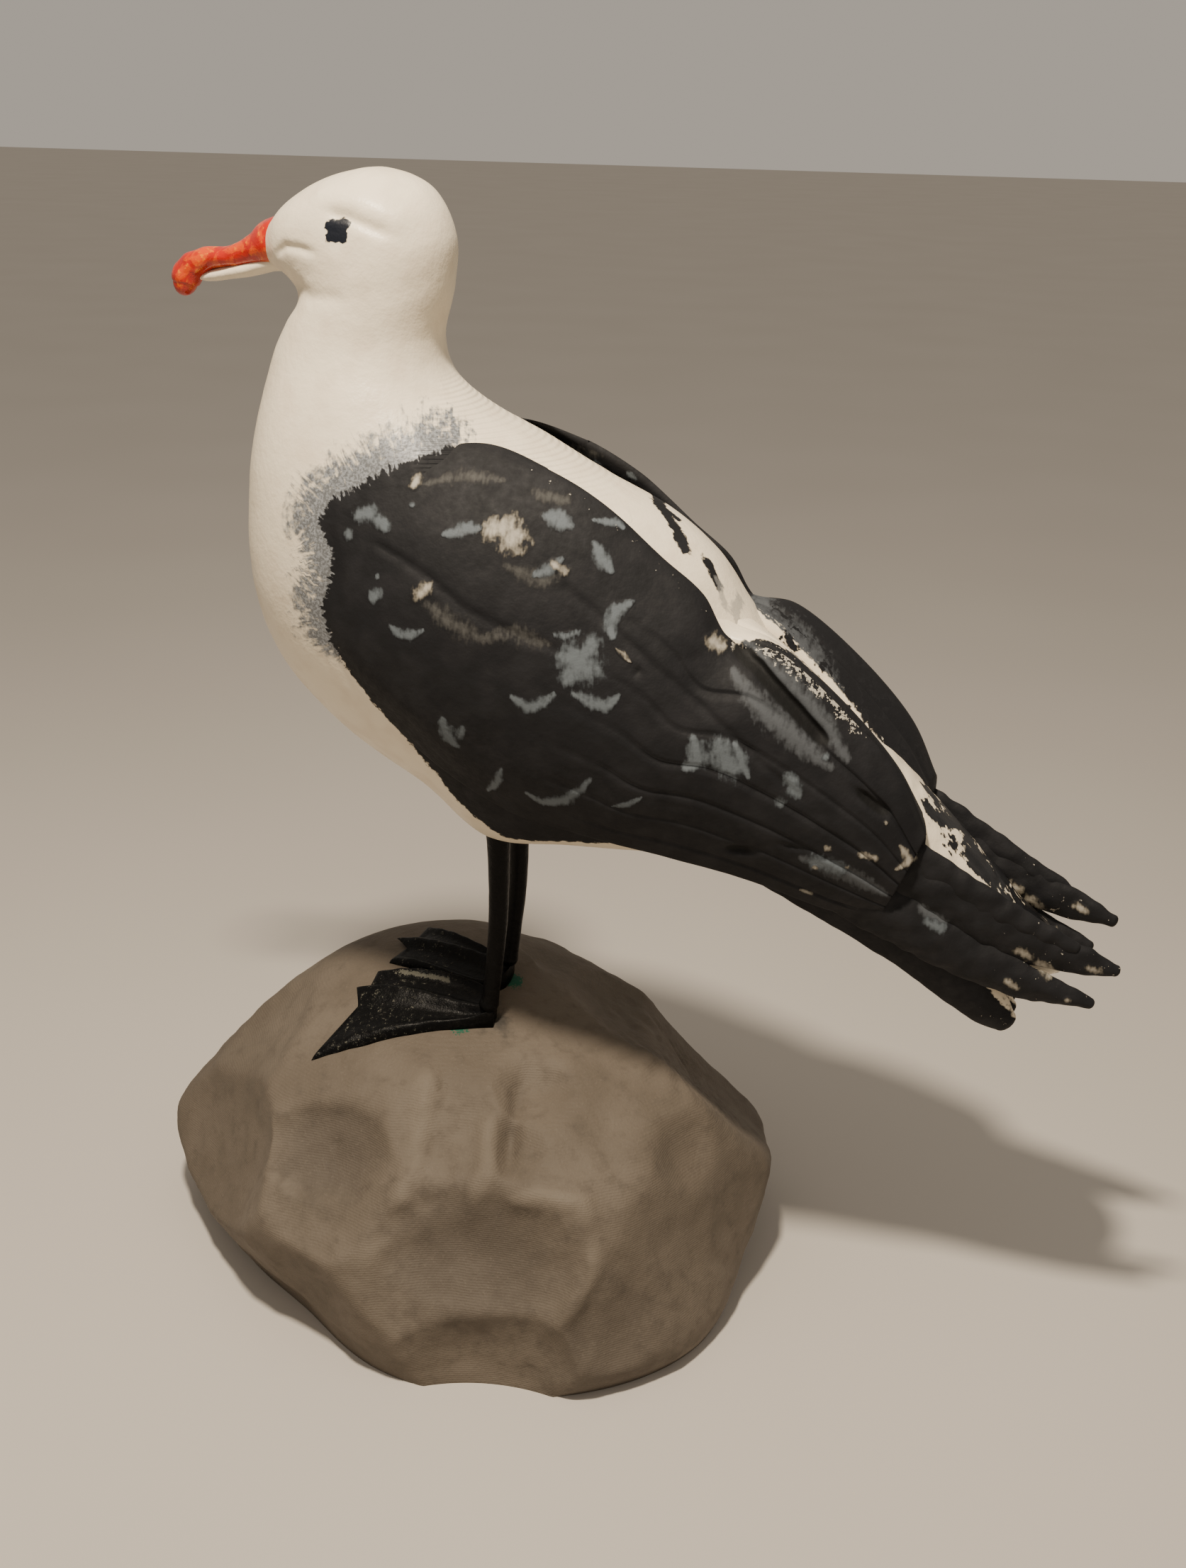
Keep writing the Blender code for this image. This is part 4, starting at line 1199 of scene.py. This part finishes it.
def build_wing(side, name, flank, plumage):
    body, shares, is_outer = wing_form(side, flank)
    points = body[0]
    x = points[:, 0]
    along, across = shares.T
    depth, _ = charcoal_fields(points)
    ink = np.where(x > 2, np.maximum(depth, 2.0), depth)
    ridge = np.exp(-(((across - 0.02) / 0.03) ** 2)) * smooth_step(along, 0.15, 0.3)
    ridge = ridge * (1 - smooth_step(along, 0.5, 0.7))
    rim = np.exp(-((across / 0.07) ** 2)) * smooth_step(x, 25, 30) * smooth_step(x, 45, 40)
    speck = RIDGE_SPECKS[side] * ridge + RIM_SPECKS[side] * rim
    # Painted shade along the dark grooves, as strong as each groove is deep.
    crevice = groove_field(points, GROOVES[:DARK_GROOVES]) * is_outer
    fields = paint_fields(points, ink, speck=speck, crevice=crevice)
    gull_piece(f"wing_{name}", body, plumage, fields)


def build_feathers(side, name, plumage):
    """The feathers behind and between the shields of the wings."""
    body = tertial_form(side)
    points = body[0]
    outside = np.abs(points[:, 1]) - np.interp(points[:, 0], *STRIPE[side])
    speck = 0.9 * np.exp(-(((outside - 0.4) / 0.6) ** 2))
    pock = 0.55 * smooth_step(points[:, 0], 27, 32)
    fields = paint_fields(points, outside * 1.2, speck=speck, pock=pock)
    gull_piece(f"tertials_{name}", body, plumage, fields)
    for part, stations, seed in (
        ("upper", UPPER_PRIMARY, 1.0),
        ("short", SHORT_PRIMARY, 2.0),
        ("lower", LOWER_PRIMARY, 3.0),
    ):
        body = tube(on_side(stations, side), per=26, around=56, flat=1.7, lumps=0.22, seed=seed)
        points = body[0]
        speck = 0.65 * smooth_step(points[:, 0], 44, 62)
        fields = paint_fields(points, ALL_CHARCOAL, speck=speck)
        gull_piece(f"primary_{part}_{name}", body, plumage, fields)


def build_tail(plumage):
    body = tube(TAIL_COVERTS, per=26, around=120, lumps=0.15, seed=5.0)
    points = body[0]
    pock = 0.45 + 0.55 * smooth_step(points[:, 1], -6.0, -1.0)
    pock = 0.9 * smooth_step(points[:, 0], 44, 49) * pock
    gull_piece("tail_coverts", body, plumage, paint_fields(points, ALL_WHITE, pock=pock))
    for i, shift in enumerate(TAIL_SPREAD):
        stations = on_side(TAIL_FEATHER, 1, shift)
        body = tube(stations, per=24, around=48, flat=1.8, lumps=0.10, seed=6.0 + i)
        points = body[0]
        x, _, z = points.T
        end = smooth_step(x, 53.5, 56.5) * smooth_step(z + 1.05 * x, 69.6, 70.6)
        speck = 0.65 * smooth_step(x, 50, 58)
        fields = paint_fields(points, 1.0 - 1.15 * end, speck=speck)
        gull_piece(f"tail_feather_{i + 1}", body, plumage, fields)


def build_bill(orange, plumage):
    gull_piece("bill_upper", tube(BILL, per=20, around=56, lumps=0.16, seed=2.5), orange, {})
    body = tube(LOWER_BILL, per=16, around=44, lumps=0.05, seed=7.5)
    gull_piece("bill_lower", body, plumage, paint_fields(body[0], ALL_WHITE))


def build_legs(ground, black):
    for side, name in ((-1, "left"), (1, "right")):
        heel = ground(HEEL_X, side * LEG_SPACING / 2) - SOLES
        leg = leg_form(side, heel)
        gull_piece(f"leg_{name}", leg, black, {"scuff": np.zeros(len(leg[0]))})
        foot = foot_form(side, FOOT_TOES[name], ground)
        away, _ = line_distance(foot[0][:, :2], SCRAPE)
        scuff = smooth_step(foot[0][:, 0], 1.0, -6.0) + 2.4 * np.exp(-((away / 0.22) ** 2))
        gull_piece(f"foot_{name}", foot, black, {"scuff": scuff})


def build_rock(taupe):
    body, fields = rock_form()
    points = body[0]
    for field, blobs in ROCK_TONES.items():
        fields[field] = np.max([share * blob(points, *where) for share, where in blobs], axis=0)
    new_piece("rock_skin", body, taupe, fields, replaced="rock")
    return height_finder(body)


def build_stage():
    """A plain pale floor."""
    mesh = bpy.data.meshes.new("floor")
    corners = [(x * FLOOR_REACH, y * FLOOR_REACH, 0) for x, y in ((-1, -1), (1, -1), (1, 1), (-1, 1))]
    mesh.from_pydata(corners, [], [(0, 1, 2, 3)])
    floor = linked("floor", mesh)
    surface = Surface("floor_paper", Roughness=0.8, Specular_IOR_Level=0.0)
    tone = surface.mix(surface.grain(0.02, 0.0), (0.570, 0.528, 0.478), (0.600, 0.557, 0.506))
    mesh.materials.append(surface.finish(tone))


def aim(obj, place, target):
    obj.location = place
    obj.rotation_euler = (Vector(target) - Vector(place)).to_track_quat("-Z", "Y").to_euler()


def build_lights():
    """A warm, soft lamp above the breast of the gull, in a pale room."""
    data = bpy.data.lights.new("key", "AREA")
    data.shape = "DISK"
    data.size = LAMP_SIZE
    data.energy = LAMP_POWER
    data.color = LAMP_COLOUR
    aim(linked("key", data), LAMP_PLACE, LAMP_TARGET)
    world = bpy.data.worlds.new("room")
    world.use_nodes = True
    background = world.node_tree.nodes["Background"]
    background.inputs["Color"].default_value = (*ROOM_COLOUR, 1)
    background.inputs["Strength"].default_value = ROOM_LIGHT
    bpy.context.scene.world = world


def build_camera():
    """A view from 14 degrees behind the gull's left side, looking down at 22 degrees."""
    turn, pitch, roll = math.radians(14), math.radians(22.2), 0.020
    spin = Matrix.Rotation(turn, 3, "Z")
    right = Vector((1, 0, 0))
    down = Vector((0, -math.sin(pitch), -math.cos(pitch)))
    ahead = Vector((0, math.cos(pitch), -math.sin(pitch)))
    x_axis = spin @ (right * math.cos(roll) - down * math.sin(roll))
    y_axis = spin @ (right * math.sin(roll) + down * math.cos(roll)) * -1
    z_axis = spin @ ahead * -1
    data = bpy.data.cameras.new("camera")
    data.lens = LENS_MM
    data.sensor_width = 36.0
    data.clip_start = 0.01
    camera = linked("camera", data)
    turned = Matrix((x_axis, y_axis, z_axis)).transposed().to_4x4()
    camera.matrix_world = Matrix.Translation(CAMERA_PLACE) @ turned
    bpy.context.scene.camera = camera


def main():
    plumage = plumage_material()
    flank = build_body(plumage)
    for side, name in ((-1, "left"), (1, "right")):
        build_wing(side, name, flank, plumage)
        build_feathers(side, name, plumage)
    build_tail(plumage)
    build_bill(bill_material(), plumage)
    build_legs(build_rock(rock_material()), leg_material())
    build_stage()
    build_lights()
    build_camera()


main()
